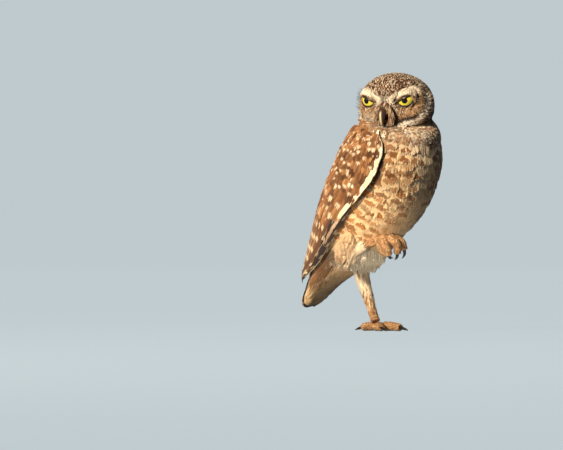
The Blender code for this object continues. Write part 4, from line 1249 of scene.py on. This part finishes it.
def add_coverts(plumage, side, tips, length, width, locks, top, ragged):
    """Soft wing feathers, given by the place (t, across) of their tips."""
    n = len(tips)
    shares = np.linspace(0, 1, 5)[None, :]
    run = np.linalg.norm(carrier_point(tips[:, 0] - 0.5, 90.0) - carrier_point(tips[:, 0] + 0.5, 90.0), axis=1)
    root_t = np.minimum(tips[:, 0] + length / run, T_WING_TOP + 0.15)
    root_v = tips[:, 1] + (0.5 - tips[:, 1]) * 0.06 + 0.03
    t = root_t[:, None] + (tips[:, 0] - root_t)[:, None] * shares
    v = root_v[:, None] + (tips[:, 1] - root_v)[:, None] * shares
    start = (core_height(root_t, root_v) - 1.4)[:, None]
    end = (core_height(tips[:, 0], tips[:, 1]) + top)[:, None]
    lift = start + (end - start) * shares**0.7
    path = wing_point(t, v, lift, side)
    out = unit(wing_point(t, v, lift + 1, side) - path)
    flat = unit(np.cross(unit(np.gradient(path, axis=1)), out))
    roll = math.radians(7.0) * side
    out = out * math.cos(roll) + flat * math.sin(roll)
    values = covert_marks(tips[:, 0], tips[:, 1], rng)
    place = np.stack([0.02 + 0.96 * np.clip(tips[:, 1], 0, 1), 0.01 + 0.47 * (tips[:, 0] - 3.0) / 6.0], 1)
    add_soft(plumage, path, out, np.full(n, width) * rng.uniform(0.9, 1.1, n), locks, place,
             np.full((n, 2), 0.02), (*values, rng.random(n)), 0.26, ragged=ragged, loose=0.1)


def covert_rows(t_from, t_to, row, across):
    """Tips of coverts in offset rows over the wing."""
    places = []
    for i, t in enumerate(np.arange(t_from, t_to, -row)):
        v = np.arange(0.03 + (across / 2 if i % 2 else 0), 0.97, across)
        places += [(t, x) for x in v]
    places = np.array(places)
    places[:, 0] += rng.normal(0, row * 0.16, len(places))
    places[:, 1] += rng.normal(0, across * 0.12, len(places))
    return places


def add_margin(plumage, side):
    """Small cream feathers along the wing's front edge."""
    t = np.arange(8.2, 3.3, -0.055)
    n = len(t)
    shares = np.linspace(0, 1, 5)[None, :]
    length = 0.62
    row = rng.uniform(-0.5, 1.0, n)
    path_t = t[:, None] + length * (1 - shares)
    path_v = 0.012 + 0.016 * row[:, None] - 0.022 * shares
    lift = core_height(path_t, np.zeros_like(path_v)) - 0.6 + 1.2 * shares + 0.25 * row[:, None]
    path = wing_point(path_t, path_v, lift, side)
    out = unit(wing_point(path_t, path_v, lift + 1, side) - path)
    cream = blend(np.tile(np.array(tone(255, 232, 192)), (n, 1)), tone(150, 100, 60), ramp(5.0 - t, 0, 1.2) * 0.8)
    cream = varied(cream, (tone(214, 160, 100), 0.3, 0.4))
    zero = np.zeros(n)
    values = (cream, cream, np.zeros((n, 3)), np.stack([zero, zero + 0.05, zero], 1), rng.random(n))
    place = np.stack([np.full(n, 0.01), 0.01 + 0.47 * (t - 3.0) / 6.0], 1)
    wide = np.interp(t, (3.3, 5.0, 7.0, 8.2), (1.4, 2.6, 3.4, 2.4))
    add_soft(plumage, path, out, wide, 3, place, np.full((n, 2), 0.01), values, 0.24, ragged=0.08, loose=0.03)


for side, word in ((1, "left"), (-1, "right")):
    arm_finish = Recipe("under_wing", Roughness=0.9)
    arm = plain_mesh("arm_" + word, *wing_core(side), arm_finish.set(Base_Color=tone(96, 64, 42)), "plumage")
    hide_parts("wing_" + word)
    wing = Plumage("wing_feathers_" + word)
    cell = 0
    for name, *tier in TIERS:
        cell = wing_tier(wing, side, *tier, cell)
    greater = covert_rows(3.95, 1.7, 0.42, 0.075)
    greater = greater[greater[:, 1] > 0.03 + 0.10 * np.maximum(0, 3.2 - greater[:, 0])]
    add_coverts(wing, side, greater, 24.0, 10.5, 7, 0.9, 0.06)
    median = covert_rows(5.15, 4.2, 0.42, 0.08)
    add_coverts(wing, side, median, 18.0, 9.0, 7, 1.0, 0.08)
    lesser = covert_rows(8.25, 5.2, 0.26, 0.072)
    add_coverts(wing, side, lesser, 12.0, 6.6, 5, 1.0, 0.14)
    add_margin(wing, side)
    wing.build(FEATHER_FINISH)
    print("wing", word, cell, "firm feathers,", len(greater) + len(median) + len(lesser), "coverts")

# %% [markdown]
# ## The tail
# Twelve short feathers lie in a stack, the middle pair on top. Under them the coverts of the belly side end in
# a soft point.

# %% Tail feathers
TAIL_LAY = ((0.08, 3.4), (0.5, 6.4), (1.0, 9.4), (1.6, 12.4), (2.3, 15.0))
TAIL_STEP, TAIL_FEATHERS = 0.88, 12
tail = Plumage("tail_feathers")
for number in range(TAIL_FEATHERS):
    pair, side = number // 2, 1 if number % 2 else -1
    layer = pair + (1 if number else 0)
    t = 2.3 + (0.08 + 0.05 * pair - 2.3) * firm_share
    y, z = smooth_rows(SPINE, t)[:, :2].T
    back = unit(carrier_point(t, 180.0) - carrier_point(t, 0.0))
    aside = side * (1.0 + pair * (0.9 + 0.45 * firm_share))
    lay = table(TAIL_LAY, t) - TAIL_STEP * layer
    path = np.stack([MID_X + aside, y, z], 1) + back * lay[:, None]
    half = 4.9 * np.interp(firm_share, (0, 0.3, 0.6, 0.85, 0.95, 1), (0.5, 0.8, 0.95, 1.0, 0.75, 0.12))
    place = np.array([[(number % 4 + 0.5) / 4, (number // 4 + 0.5) / 4]])
    values = (np.array([tone(200, 150, 98)]), np.array([tone(236, 204, 160)]), np.array([[0.9, 0.0, 0.7]]),
              np.array([[0.0, 0.15, 0.0]]), rng.random(1))
    add_firm(tail, path[None], back[None], half[None], place, np.full((1, 2), 0.2), values, thick=0.4, arch=0.06)
tail.build(FIRM_FINISH)

# %% [markdown]
# ## Eyes
# An owl's eye is a yellow iris round a wide pupil under a clear, wet cornea. The ball is coloured by the angle
# from its own axis, and the lids are a dark rim round the opening.

# %% Eyes and lids
# Half the opening of the lids, in degrees from the eye's axis, by the angle round it from its outer side.
LID_OPENING = ((0, 54), (15, 57), (27, 58), (35, 38), (45, 22), (60, 14), (90, 10.5), (120, 9.5), (150, 11),
               (170, 17), (185, 27), (195, 50), (205, 48), (225, 40), (270, 32), (315, 40), (345, 50), (360, 54))
PUPIL, IRIS_EDGE = 18.5, 64.0


def eye_frame(side):
    """The middle of an eye and its axes: outward, back and up."""
    return from_head(EYE_SPOT * [side, 1, 1]), HEAD_AXES @ turn_about("z", side * EYE_TURN_OUT)


def around_eye(side, radius, polar, angle):
    """Points at an angle from the eye's axis and round it from its outer side."""
    centre, axes = eye_frame(side)
    polar, angle = np.radians(polar), np.radians(angle)
    local = np.stack([side * radius * np.sin(polar) * np.cos(angle), -radius * np.cos(polar),
                      radius * np.sin(polar) * np.sin(angle)], -1)
    return centre + local @ axes.T


def lid_opening(angle):
    near = [table(LID_OPENING, (angle + off) % 360) for off in (-5, 0, 5)]
    return (near[0] + 2 * near[1] + near[2]) / 4


def grid_faces(rows, columns, closed=True):
    """Quads over rings of points, each ring closed on itself unless told not to be."""
    faces = []
    for i in range(rows - 1):
        for j in range(columns if closed else columns - 1):
            k = (j + 1) % columns
            faces.append((i * columns + j, i * columns + k, (i + 1) * columns + k, (i + 1) * columns + j))
    return faces


def eye_finish():
    recipe = Recipe("owl_eye", Roughness=0.25, Specular_IOR_Level=0.15, Coat_Weight=0.2, Coat_Roughness=0.02)
    away = recipe.read("Away", 2)
    grain = recipe.node("ShaderNodeTexNoise", {"noise_dimensions": "3D"}, {"Scale": 700.0, "Detail": 3.0})
    pupil = 1 - away.rise(PUPIL - 0.8, PUPIL + 0.8)
    limbus = away.rise(IRIS_EDGE - 8, IRIS_EDGE)
    iris = recipe.mix(grain * 0.5, tone(255, 236, 84), tone(250, 212, 48))
    iris = recipe.mix((1 - away.rise(PUPIL, PUPIL + 7)) * 0.35, iris, tone(206, 140, 30))
    colour = recipe.mix(limbus, iris, tone(40, 26, 14))
    return recipe.set(Base_Color=recipe.mix(pupil, colour, tone(6, 5, 4)))


EYE_FINISH = eye_finish()
def rim_finish():
    recipe = Recipe("lid_rim", Roughness=0.5, Specular_IOR_Level=0.3)
    return recipe.set(Base_Color=recipe.read("Ground", 0))


def lid_rings(side, turns):
    """Rings from under the lids' edge, over a raised black rim, and out to the face."""
    opening = lid_opening(turns)
    steps = ((0, -0.5), (-1.0, 0.30), (1.5, 0.75), (6, 0.85), (13, 0.6), (26, 0.9), (44, 0.9), (44, -1.0))
    return np.array([around_eye(side, EYE_RADIUS + lift, opening + reach, turns) for reach, lift in steps])


def ring_feathers(coat, side):
    """Tiny feathers that fan out over the lids and away from the eye."""
    for reach, length, number in ((5.5, 2.0, 64), (10, 2.4, 60), (16, 2.8, 60), (23, 3.2, 60), (31, 3.6, 60), (40, 4, 60)):
        turns = (np.arange(number) + rng.uniform(-0.3, 0.3, number)) * 360 / number
        polar = lid_opening(turns) + reach + rng.uniform(-2, 2, number)
        shares = np.linspace(0, 1, 5)[None, :]
        span = np.degrees(length / (EYE_RADIUS + 1))
        path_polar = polar[:, None] + span * shares
        lean = 10 * np.sin(np.radians(turns))[:, None] * shares
        path_turn = turns[:, None] + lean
        lift = EYE_RADIUS + 0.5 + (0.9 + 0.02 * reach) * shares**0.8
        path = around_eye(side, lift, path_polar, path_turn)
        out = unit(path - eye_frame(side)[0])
        q = to_head(path[:, 3])
        ground, mark, pattern, form = head_colours(q)
        inner = bump(turns, 190, 20) * (reach < 18)
        ground = blend(ground, tone(40, 26, 18), inner)
        # Painted shade under the brow: the feathers next to the lids are dark all round, as the real rim is, and
        # darker still over the top.
        top = bump(turns, 80, 70)
        dark = max(0.0, 1 - reach / 12)
        ground = blend(ground, tone(30, 20, 15), np.clip((0.5 + 1.3 * top) * dark, 0, 0.97))
        keep = polar < 82
        values = [x[keep] for x in (ground, mark, pattern * 0.4, form, rng.random(number))]
        place = head_patch(path[keep, 0])
        add_soft(coat, path[keep], out[keep], np.full(keep.sum(), 1.15), 1, place,
                 np.full((keep.sum(), 2), 0.003), values, 0.2)


eye_coat = Plumage("coat_eyes")
RIM_FINISH = rim_finish()
for side, word in ((1, "left"), (-1, "right")):
    polar = np.linspace(0, 180, 41)[:, None] * np.ones(48)
    angle = np.linspace(0, 360, 48, endpoint=False)[None, :] * np.ones((41, 1))
    points = around_eye(side, EYE_RADIUS, np.clip(polar, 0.01, 179.99), angle).reshape(-1, 3)
    caps = [tuple(range(48)), tuple(range(40 * 48, 41 * 48))]
    eye = plain_mesh("eyeball_" + word, points, grid_faces(41, 48) + caps, EYE_FINISH, "eye")
    layer = eye.data.attributes.new("Away", "FLOAT", "POINT")
    layer.data.foreach_set("value", polar.ravel())
    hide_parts("eye_" + word)
    turns = np.linspace(0, 360, 72, endpoint=False)
    rings = lid_rings(side, turns)
    faces = grid_faces(len(rings), 72)
    last = (len(rings) - 1) * 72
    faces += [(j, (j + 1) % 72, last + (j + 1) % 72, last + j) for j in range(72)]
    lids = plain_mesh("lids_" + word, rings.reshape(-1, 3), faces, RIM_FINISH, "plumage")
    lid_ground = np.tile(np.array(tone(26, 18, 15)), (len(rings), 72, 1))
    # The lid's outer rings are brown, darkened over the top as painted shade under the brow.
    outer = blend(np.tile(np.array(tone(110, 80, 56)), (72, 1)), tone(34, 24, 18), np.clip(1.4 * bump(turns, 80, 60), 0, 1))
    lid_ground[4:] = outer
    layer = lids.data.attributes.new("Ground", "FLOAT_VECTOR", "POINT")
    layer.data.foreach_set("vector", lid_ground.astype(np.float32).ravel())
    ring_feathers(eye_coat, side)
eye_coat.build(PLUMAGE_FINISH)
print("eyes of radius", EYE_RADIUS, "with lids open from", lid_opening(np.array([110.0]))[0].round(1), "to",
      lid_opening(np.array([270.0]))[0].round(1), "degrees")

# %% [markdown]
# ## The bill
# Two halves of horn, the upper one hooked over the lower. The ridge is pale and the dusky sides are darkened
# with painted shade, and a reddish cere is coloured at its root.

# %% Upper and lower bill
UPPER_BILL = ((-21.0, -2.2, 4.6, 5.2), (-27.0, -1.8, 4.6, 5.4), (-31.0, -3.2, 3.8, 4.4),
              (-33.2, -6.6, 2.7, 3.1), (-33.9, -10.8, 1.6, 1.8), (-33.2, -14.2, 0.5, 0.5))
LOWER_BILL = ((-21.0, -8.8, 3.6, 1.4), (-26.0, -9.0, 3.6, 1.5), (-29.5, -9.9, 2.6, 1.3),
              (-31.4, -10.9, 1.2, 0.7))


def bill_mesh(name, rows, along, around, finish):
    rows = np.array(rows)
    t = np.linspace(0, len(rows) - 1, along)
    middle = smooth_rows(rows, t)
    ahead = smooth_rows(rows, t + 0.1) - smooth_rows(rows, t - 0.1)
    ahead = unit(np.stack([np.zeros(along), ahead[:, 0], ahead[:, 1]], 1))
    up = np.cross(ahead, SIDE_ON)
    a = np.linspace(0, 2 * math.pi, around, endpoint=False)
    centre = np.stack([np.zeros(along), middle[:, 0], middle[:, 1]], 1)
    wide = middle[:, None, 2:3] * (np.sign(np.cos(a)) * abs(np.cos(a)) ** 1.15)[None, :, None]
    deep = middle[:, None, 3:4] * np.sin(a)[None, :, None]
    rings = centre[:, None] + SIDE_ON * wide + up[:, None] * deep
    local = rings.reshape(-1, 3)
    caps = [tuple(range(around)), tuple(range((along - 1) * around, along * around))]
    made = plain_mesh(name, from_head(local), grid_faces(along, around) + caps, finish, "bill_horn")
    layer = made.data.attributes.new("HeadPlace", "FLOAT_VECTOR", "POINT")
    layer.data.foreach_set("vector", local.astype(np.float32).ravel())
    return made


def bill_finish():
    recipe = Recipe("bill", Roughness=0.38, Specular_IOR_Level=0.45)
    x, y, z = recipe.parts(recipe.read("HeadPlace", 1))
    side = abs(x)
    grain = recipe.node("ShaderNodeTexNoise", {"noise_dimensions": "3D"}, {"Scale": 500.0, "Detail": 3.0})
    ridge = (1 - side.rise(0.4, 1.3)) * (1 - (y + 31.0).rise(-0.5, 6.0) * 0.6)
    ridge = ridge * (1 - z.rise(-3.5, 0.0))
    # Pale horn on the ridge; the sides are dusky horn darkened as painted shade.
    colour = recipe.mix(ridge, tone(66, 38, 26), tone(232, 206, 152))
    cere = y.rise(-31.6, -29.6)
    colour = recipe.mix(cere * 0.9, colour, tone(104, 58, 40))
    tip = 1 - z.rise(-13.5, -9.0)
    colour = recipe.mix(tip * 0.45, colour, tone(92, 72, 52))
    return recipe.set(Base_Color=recipe.mix(grain * 0.25, colour, tone(120, 96, 66)))


BILL_FINISH = bill_finish()
upper_bill = bill_mesh("bill_upper_horn", UPPER_BILL, 28, 28, BILL_FINISH)
lower_bill = bill_mesh("bill_lower_horn", LOWER_BILL, 16, 24, BILL_FINISH)
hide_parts("bill_upper")
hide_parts("bill_lower")
print("bill made of", len(upper_bill.data.vertices) + len(lower_bill.data.vertices), "points")

# %% [markdown]
# Stiff bristles hide the root of the bill and stand out at the edge of the face. They are feathers with hardly
# any vane.

# %% Bristles
def add_bristles(coat, start, way, length, bend, width, ground):
    """Thin bristles from places of the head, curving towards bend as they grow."""
    n = len(start)
    shares = np.linspace(0, 1, 5)[None, :, None]
    path = start[:, None] + (unit(way)[:, None] * shares + bend[:, None] * shares**2) * length[:, None, None]
    out = np.broadcast_to(unit(start - [0, -8, 0])[:, None], path.shape)
    zero = np.zeros(n)
    values = (ground, ground, np.zeros((n, 3)), np.stack([zero, zero, zero], 1), rng.random(n))
    add_soft(coat, from_head(path), out @ HEAD_AXES.T, width, 1, head_patch(from_head(start)),
             np.full((n, 2), 0.003), values, 0.12)


bristles = Plumage("coat_bristles")
for side in (-1, 1):
    n = 420
    rise = rng.uniform(-75, 88, n)
    radius = rng.uniform(0.8, 1.55, n)
    start = np.stack([side * 4.6 * radius * np.cos(np.radians(rise)), -24.6 - 0.9 / radius,
                      -3.6 + 5.6 * radius * np.sin(np.radians(rise))], 1)
    way = np.stack([side * (0.02 + 0.3 * radius * np.cos(np.radians(rise))), np.full(n, -0.9),
                    0.3 * np.sin(np.radians(rise)) - 0.15], 1)
    bend = np.tile([side * 0.04, 0.15, -0.55], (n, 1))
    ground = blend(np.tile(np.array(LORE), (n, 1)), tone(120, 78, 50), ramp(-rise, -45, 10) * rng.uniform(0.3, 1, n))
    ground = varied(ground, (tone(84, 50, 34), 0.4, 0.9), (CREAM_WHITE, 0.2, 0.7))
    add_bristles(bristles, start, way, rng.uniform(4.6, 8.6, n), bend, rng.uniform(0.35, 0.7, n), ground)
    n = 80
    rise = rng.uniform(-14, 13, n)
    start = np.stack([side * (31.0 - 0.02 * rise**2), rng.uniform(-13, -6, n), rise], 1)
    start[:, 0] *= 0.95
    way = np.stack([np.full(n, side * 0.7), rng.uniform(-0.8, 0.1, n), rng.uniform(-0.4, 0.6, n)], 1)
    ground = np.tile(np.array(tone(66, 44, 30)), (n, 1))
    add_bristles(bristles, start, way, rng.uniform(2.6, 5.6, n), np.zeros((n, 3)), rng.uniform(0.14, 0.26, n), ground)
n = 130
side = rng.uniform(-3.6, 3.6, n)
start = np.stack([side, np.full(n, -24.6), 4.8 - 0.12 * side**2 + rng.uniform(-0.8, 0.8, n)], 1)
way = np.stack([0.10 * side, np.full(n, -0.95), np.full(n, 0.05)], 1)
ground = varied(np.tile(np.array(tone(126, 78, 52)), (n, 1)), (tone(66, 40, 28), 0.5, 0.9), (CREAM_WHITE, 0.2, 0.7))
add_bristles(bristles, start, way, rng.uniform(4.5, 7.5, n), np.tile([0.0, 0.0, -0.42], (n, 1)),
             rng.uniform(0.4, 0.75, n), ground)
n = 170
start = np.stack([rng.uniform(-5.5, 5.5, n), rng.uniform(-26, -22, n), rng.uniform(0.5, 11, n)], 1)
rise = start[:, 2]
start, _ = nearest_on_skin(from_head(start))
side = to_head(start)[:, 0]
way = np.stack([0.12 * side, np.full(n, -0.25), np.full(n, -1.0)], 1)
path, out = along_skin(start, unit(way @ HEAD_AXES.T), rng.uniform(4.0, 5.6, n), 5, rng.uniform(1.0, 1.6, n))
ground = blend(np.tile(np.array(CREAM_WHITE), (n, 1)), CROWN_DARK, ramp(rise - 1.2 * abs(side), 5.5, 8.0) * 0.8)
ground = blend(ground, tone(122, 74, 48), ramp(4.5 - rise, 0, 2.5) * 0.9)
ground = varied(ground, (tone(96, 60, 40), 0.25, 0.6), (CREAM_WHITE, 0.15, 0.5))
zero = np.zeros(n)
values = (ground, ground, np.zeros((n, 3)), np.stack([zero, zero, zero], 1), rng.random(n))
add_soft(bristles, path, out, np.full(n, 0.75), 1, head_patch(start), np.full((n, 2), 0.003), values, 0.12)
bristles.build(PLUMAGE_FINISH)

# %% [markdown]
# ## Legs and feet
# Each foot is one scaly skin over its bones, from the solids of its leg joined, remeshed and smoothed. The
# claws stay separate, as curved tapering horns.

# %% Scaly feet and claws
def scaly_finish():
    recipe = Recipe("scaly_foot", Roughness=0.55, Specular_IOR_Level=0.35)
    place = recipe.node("ShaderNodeNewGeometry", None, None, 0)
    scales = recipe.node("ShaderNodeTexVoronoi", {"feature": "DISTANCE_TO_EDGE"},
                         {"Vector": place, "Scale": 620.0}, 0)
    crease = 1 - scales.rise(0.02, 0.16)
    soft = recipe.node("ShaderNodeTexNoise", None, {"Vector": place, "Scale": 220.0, "Detail": 3.0})
    colour = recipe.mix(soft.rise(0.35, 0.7), tone(226, 172, 114), tone(176, 122, 76))
    colour = recipe.mix(crease * 0.55, colour, tone(96, 62, 36))
    raised = recipe.node("ShaderNodeBump", None, {"Strength": 0.8, "Distance": 0.0008, "Height": 1 - crease})
    return recipe.set(Base_Color=colour, Normal=raised)


SCALY_FINISH = scaly_finish()
scales = bpy.data.textures.new("scales", "VORONOI")
scales.noise_scale = 2.0 * MM
CLAW_FINISH = Recipe("claw", Roughness=0.3, Specular_IOR_Level=0.5).set(Base_Color=tone(30, 25, 22))
for word in ("left", "right"):
    nodes = [f"tarsus_{word}", f"foot_{word}"] + [f"toe_{word}_{n}" for n in (1, 2, 3, 4)]
    foot = joined_copy("scaly_foot_" + word, nodes)
    modified(foot, remesh(0.45), smooth(8), ("DISPLACE", {"texture": scales, "strength": 0.7 * MM}), smooth(1))
    foot.data.materials.clear()
    foot.data.materials.append(SCALY_FINISH)
    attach(foot, "root")
    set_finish(foot, "scaly_skin")
    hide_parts(*nodes)
    print("foot", word, len(foot.data.polygons), "faces")
for name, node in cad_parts.items():
    if name.startswith("claw_"):
        node.data.materials.clear()
        node.data.materials.append(CLAW_FINISH)

# %% [markdown]
# The legs are feathered too, with cream plumes on the thighs that shorten to hair on the shank. They root on a
# tapering tube round the bones, and point down it.

# %% Leg feathers
STAND_LEG = ((9.0, 2.0, 84.0, 12.0), (8.4, 10.0, 75.0, 13.0), (7.4, 19.0, 63.0, 10.4), (6.0, 25.0, 51.0, 6.2),
             (3.3, 15.3, 29.0, 4.2), (0.7, 5.5, 10.0, 3.8))
RAISED_SHANK = ((-24.0, 24.0, 60.0, 5.6), (-25.0, 16.0, 65.0, 5.6), (-22.5, 4.0, 70.0, 5.0),
                (-20.5, -5.0, 73.8, 4.4))


def tube_feathers(coat, rows, number, lengths, widths, stands, first_colour, last_colour, turn_tan):
    """Feathers from a tube given as rows of x, y, z and radius."""
    rows = np.array(rows)
    last = len(rows) - 1
    s = np.sqrt(rng.random(number)) if rows[0, 3] < rows[-1, 3] else 1 - np.sqrt(1 - rng.random(number) * 0.999)
    s = 0.5 * s + 0.5 * rng.random(number)
    turn = rng.uniform(0, 2 * math.pi, number)
    whole = np.linalg.norm(np.diff(rows[:, :3], axis=0), axis=1).sum()
    length = np.interp(s, (0, 1), lengths)
    width = np.interp(s, (0, 0.5, 1), widths)
    stand = np.interp(s, (0, 1), stands)
    shares = np.linspace(0, 1, 5)[None, :]
    along = s[:, None] + length[:, None] / whole * shares
    row = smooth_rows(rows, along * last)
    ahead = unit(smooth_rows(rows, along * last + 0.05)[..., :3] - smooth_rows(rows, along * last - 0.05)[..., :3])
    side = unit(np.cross(ahead, np.array([1.0, 0.2, 0.0])))
    other = np.cross(ahead, side)
    out = side * np.cos(turn)[:, None, None] + other * np.sin(turn)[:, None, None]
    reach = row[..., 3] - 0.7 + (0.7 + stand[:, None]) * shares**0.8
    path = row[..., :3] + out * reach[..., None]
    over = np.clip((along - 1)[..., None], 0, 1)
    path = path + ahead * over * whole
    ground = blend(np.tile(np.array(first_colour), (number, 1)), last_colour, ramp(s, *turn_tan))
    ground = blend(ground, tone(176, 128, 84), ramp(s, 0.4, 0.8) * 0.4 * (rng.random(number) < 0.14))
    zero = np.zeros(number)
    values = (ground, ground, np.zeros((number, 3)), np.stack([zero, zero + 0.05, zero], 1), rng.random(number))
    place = np.stack([0.02 + 0.96 * turn / (2 * math.pi), 0.02 + 0.96 * s], 1)
    add_soft(coat, path, out, width, 1, place, np.full((number, 2), 0.004), values, 0.2, loose=0.22)


def hanging_plumes(coat, number):
    """Long loose plumes from the low belly that hang over the top of the standing leg."""
    angle = rng.uniform(-64, 14, number)
    t = rng.uniform(3.45, 4.08, number) + 0.3 * ramp(-angle, 36, 56)
    start, normal = nearest_on_skin(carrier_point(t, angle))
    down = unit(np.array([-0.15, 0.2, -1.0]) + rng.normal(0, 0.10, (number, 3)))
    length = rng.uniform(8.0, 14.0, number)
    shares = np.linspace(0, 1, 5)
    path = start[:, None] + down[:, None] * (length[:, None] * shares)[..., None]
    path += normal[:, None] * (2.6 * shares**0.7 - 0.4)[None, :, None]
    out = np.repeat(unit(normal + np.array([-0.8, -0.7, 0.0]))[:, None], 5, axis=1)
    ground = varied(np.tile(np.array(THIGH), (number, 1)), (tone(214, 170, 118), 0.3, 0.5))
    ground = blend(ground, tone(222, 176, 122), ramp(-angle, 30, 50) * 0.9)
    zero = np.zeros(number)
    values = (ground, ground, np.zeros((number, 3)), np.stack([zero, zero, zero], 1), rng.random(number))
    add_soft(coat, path, out, rng.uniform(2.4, 3.6, number), 3, body_patch(t, angle),
             np.full((number, 2), 0.003), values, 0.16, loose=0.2)


thigh_coat = Plumage("coat_thigh_plumes", free=True)
hanging_plumes(thigh_coat, 640)
thigh_coat.build(PLUMAGE_FINISH)
leg_coat = Plumage("coat_leg_left")
tube_feathers(leg_coat, STAND_LEG, 3600, (9.0, 2.6), (1.9, 1.2, 0.8), (1.6, 0.5), THIGH, tone(232, 192, 144),
              (0.4, 0.95))
leg_coat.build(PLUMAGE_FINISH)
# The raised shank's feathers run from a darker buff at the hock, painted shade in the hollow there, to pale cream by
# the foot.
leg_coat = Plumage("coat_leg_right")
tube_feathers(leg_coat, RAISED_SHANK, 2600, (8.5, 3.6), (1.3, 1.1, 0.9), (2.0, 0.8), tone(206, 160, 108),
              tone(250, 226, 186), (0.2, 0.6))
leg_coat.build(PLUMAGE_FINISH)

# %% [markdown]
# ## Floor, light and camera
# A plain pale floor and backdrop, a soft warm lamp from the bird's front and a weak fill, and a long lens from
# the side that the photograph was taken from.

# %% Stage
def stage_finish():
    return Recipe("pale_stage", Roughness=0.95, Specular_IOR_Level=0.05, Emission_Strength=1.0).set(
        Base_Color=tone(46, 48, 51), Emission_Color=tone(190, 201, 205))


VIEW_AZIMUTH, VIEW_DISTANCE = math.radians(-48.0), 6.0
SHIFT_ASIDE, AIM_HEIGHT = -0.0829, 0.0901
picture_width = 0.4786
right = Vector((math.cos(VIEW_AZIMUTH), math.sin(VIEW_AZIMUTH), 0))
toward = Vector((math.sin(VIEW_AZIMUTH), -math.cos(VIEW_AZIMUTH), 0))
aim = right * SHIFT_ASIDE + Vector((0, 0, AIM_HEIGHT))

floor_half, wall_back = 9.0, 8.0
profile = [(-8.0, 0.0), (wall_back - 0.5, 0.0)]
profile += [(wall_back - 0.5 + 0.5 * math.sin(a), 0.5 - 0.5 * math.cos(a)) for a in np.linspace(0.15, math.pi / 2, 9)]
profile += [(wall_back, 6.0)]
points, faces = [], []
for along, height in profile:
    for across in (-floor_half, floor_half):
        spot = -toward * along + right * across
        points.append((spot.x / MM, spot.y / MM, height / MM))
for i in range(len(profile) - 1):
    faces.append((2 * i, 2 * i + 1, 2 * i + 3, 2 * i + 2))
floor = plain_mesh("floor", points, faces, stage_finish(), "plumage")
del floor["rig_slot"]
# The stage is seen but throws no light back, so that the bird's far side stays as dark as in open sunlight.
floor.visible_diffuse = False


def lamp(name, place, size, power, colour):
    light = bpy.data.lights.new(name, "AREA")
    light.shape, light.size, light.energy, light.color = "DISK", size, power, colour
    made = bpy.data.objects.new(name, light)
    made.location = place
    made.rotation_euler = (Vector((0, 0, 0.11)) - Vector(place)).to_track_quat("-Z", "Y").to_euler()
    bpy.context.scene.collection.objects.link(made)
    return made


key_turn, key_rise = math.radians(38.0), math.radians(25.0)
key_way = toward * math.cos(key_turn) - right * math.sin(key_turn)
key_place = (key_way * math.cos(key_rise) + Vector((0, 0, math.sin(key_rise)))) * 2.6 + Vector((0, 0, 0.1))
fill_place = toward * 2.0 + right * 1.6 + Vector((0, 0, 0.9))
lamp("key", key_place, 0.35, 96.0, (1.0, 0.93, 0.82))
lamp("fill", fill_place, 2.2, 0.6, (0.86, 0.93, 1.0))
low_place = toward * 1.3 - right * 1.5 + Vector((0, 0, 0.02))
lamp("from_below", low_place, 0.9, 11.0, (1.0, 0.90, 0.74))


def spot(name, place, aimed_at, cone, power, colour, size):
    """A lamp with a narrow cone, itself unseen."""
    light = bpy.data.lights.new(name, "SPOT")
    light.energy, light.spot_size, light.spot_blend = power, math.radians(cone), 1.0
    light.color, light.shadow_soft_size = colour, size
    made = bpy.data.objects.new(name, light)
    made.location = place
    made.rotation_euler = (Vector(aimed_at) - place).to_track_quat("-Z", "Y").to_euler()
    made.visible_camera = False
    bpy.context.scene.collection.objects.link(made)


legs_place = toward * 1.0 - right * 0.1 + Vector((0, 0, 0.012))
spot("legs", legs_place, (-0.004, 0.012, 0.062), 5.4, 62.0, (1.0, 0.92, 0.80), 0.05)
behind_place = -toward * 2.4 + Vector((0, 0, 0.9))
spot("behind", behind_place, (0, 0, 0.13), 7.5, 50.0, (0.90, 0.95, 1.0), 0.3)
world = bpy.data.worlds.new("soft_room")
world.use_nodes = True
world.node_tree.nodes["Background"].inputs["Color"].default_value = (0.80, 0.86, 0.92, 1.0)
world.node_tree.nodes["Background"].inputs["Strength"].default_value = 0.085
bpy.context.scene.world = world
# Colours are shown as they are, without a film curve, so that tone() gives what one sees in full light.
bpy.context.scene.view_settings.view_transform = "Standard"

camera_data = bpy.data.cameras.new("view")
camera_data.sensor_width = 36.0
camera_data.lens = 36.0 * VIEW_DISTANCE / picture_width
camera_data.clip_end = 20.0
camera = bpy.data.objects.new("view", camera_data)
camera.location = aim + toward * VIEW_DISTANCE
camera.rotation_euler = (-toward).to_track_quat("-Z", "Y").to_euler()
bpy.context.scene.collection.objects.link(camera)
bpy.context.scene.camera = camera
print("camera at", [round(c, 3) for c in camera.location], "lens", round(camera_data.lens, 1))
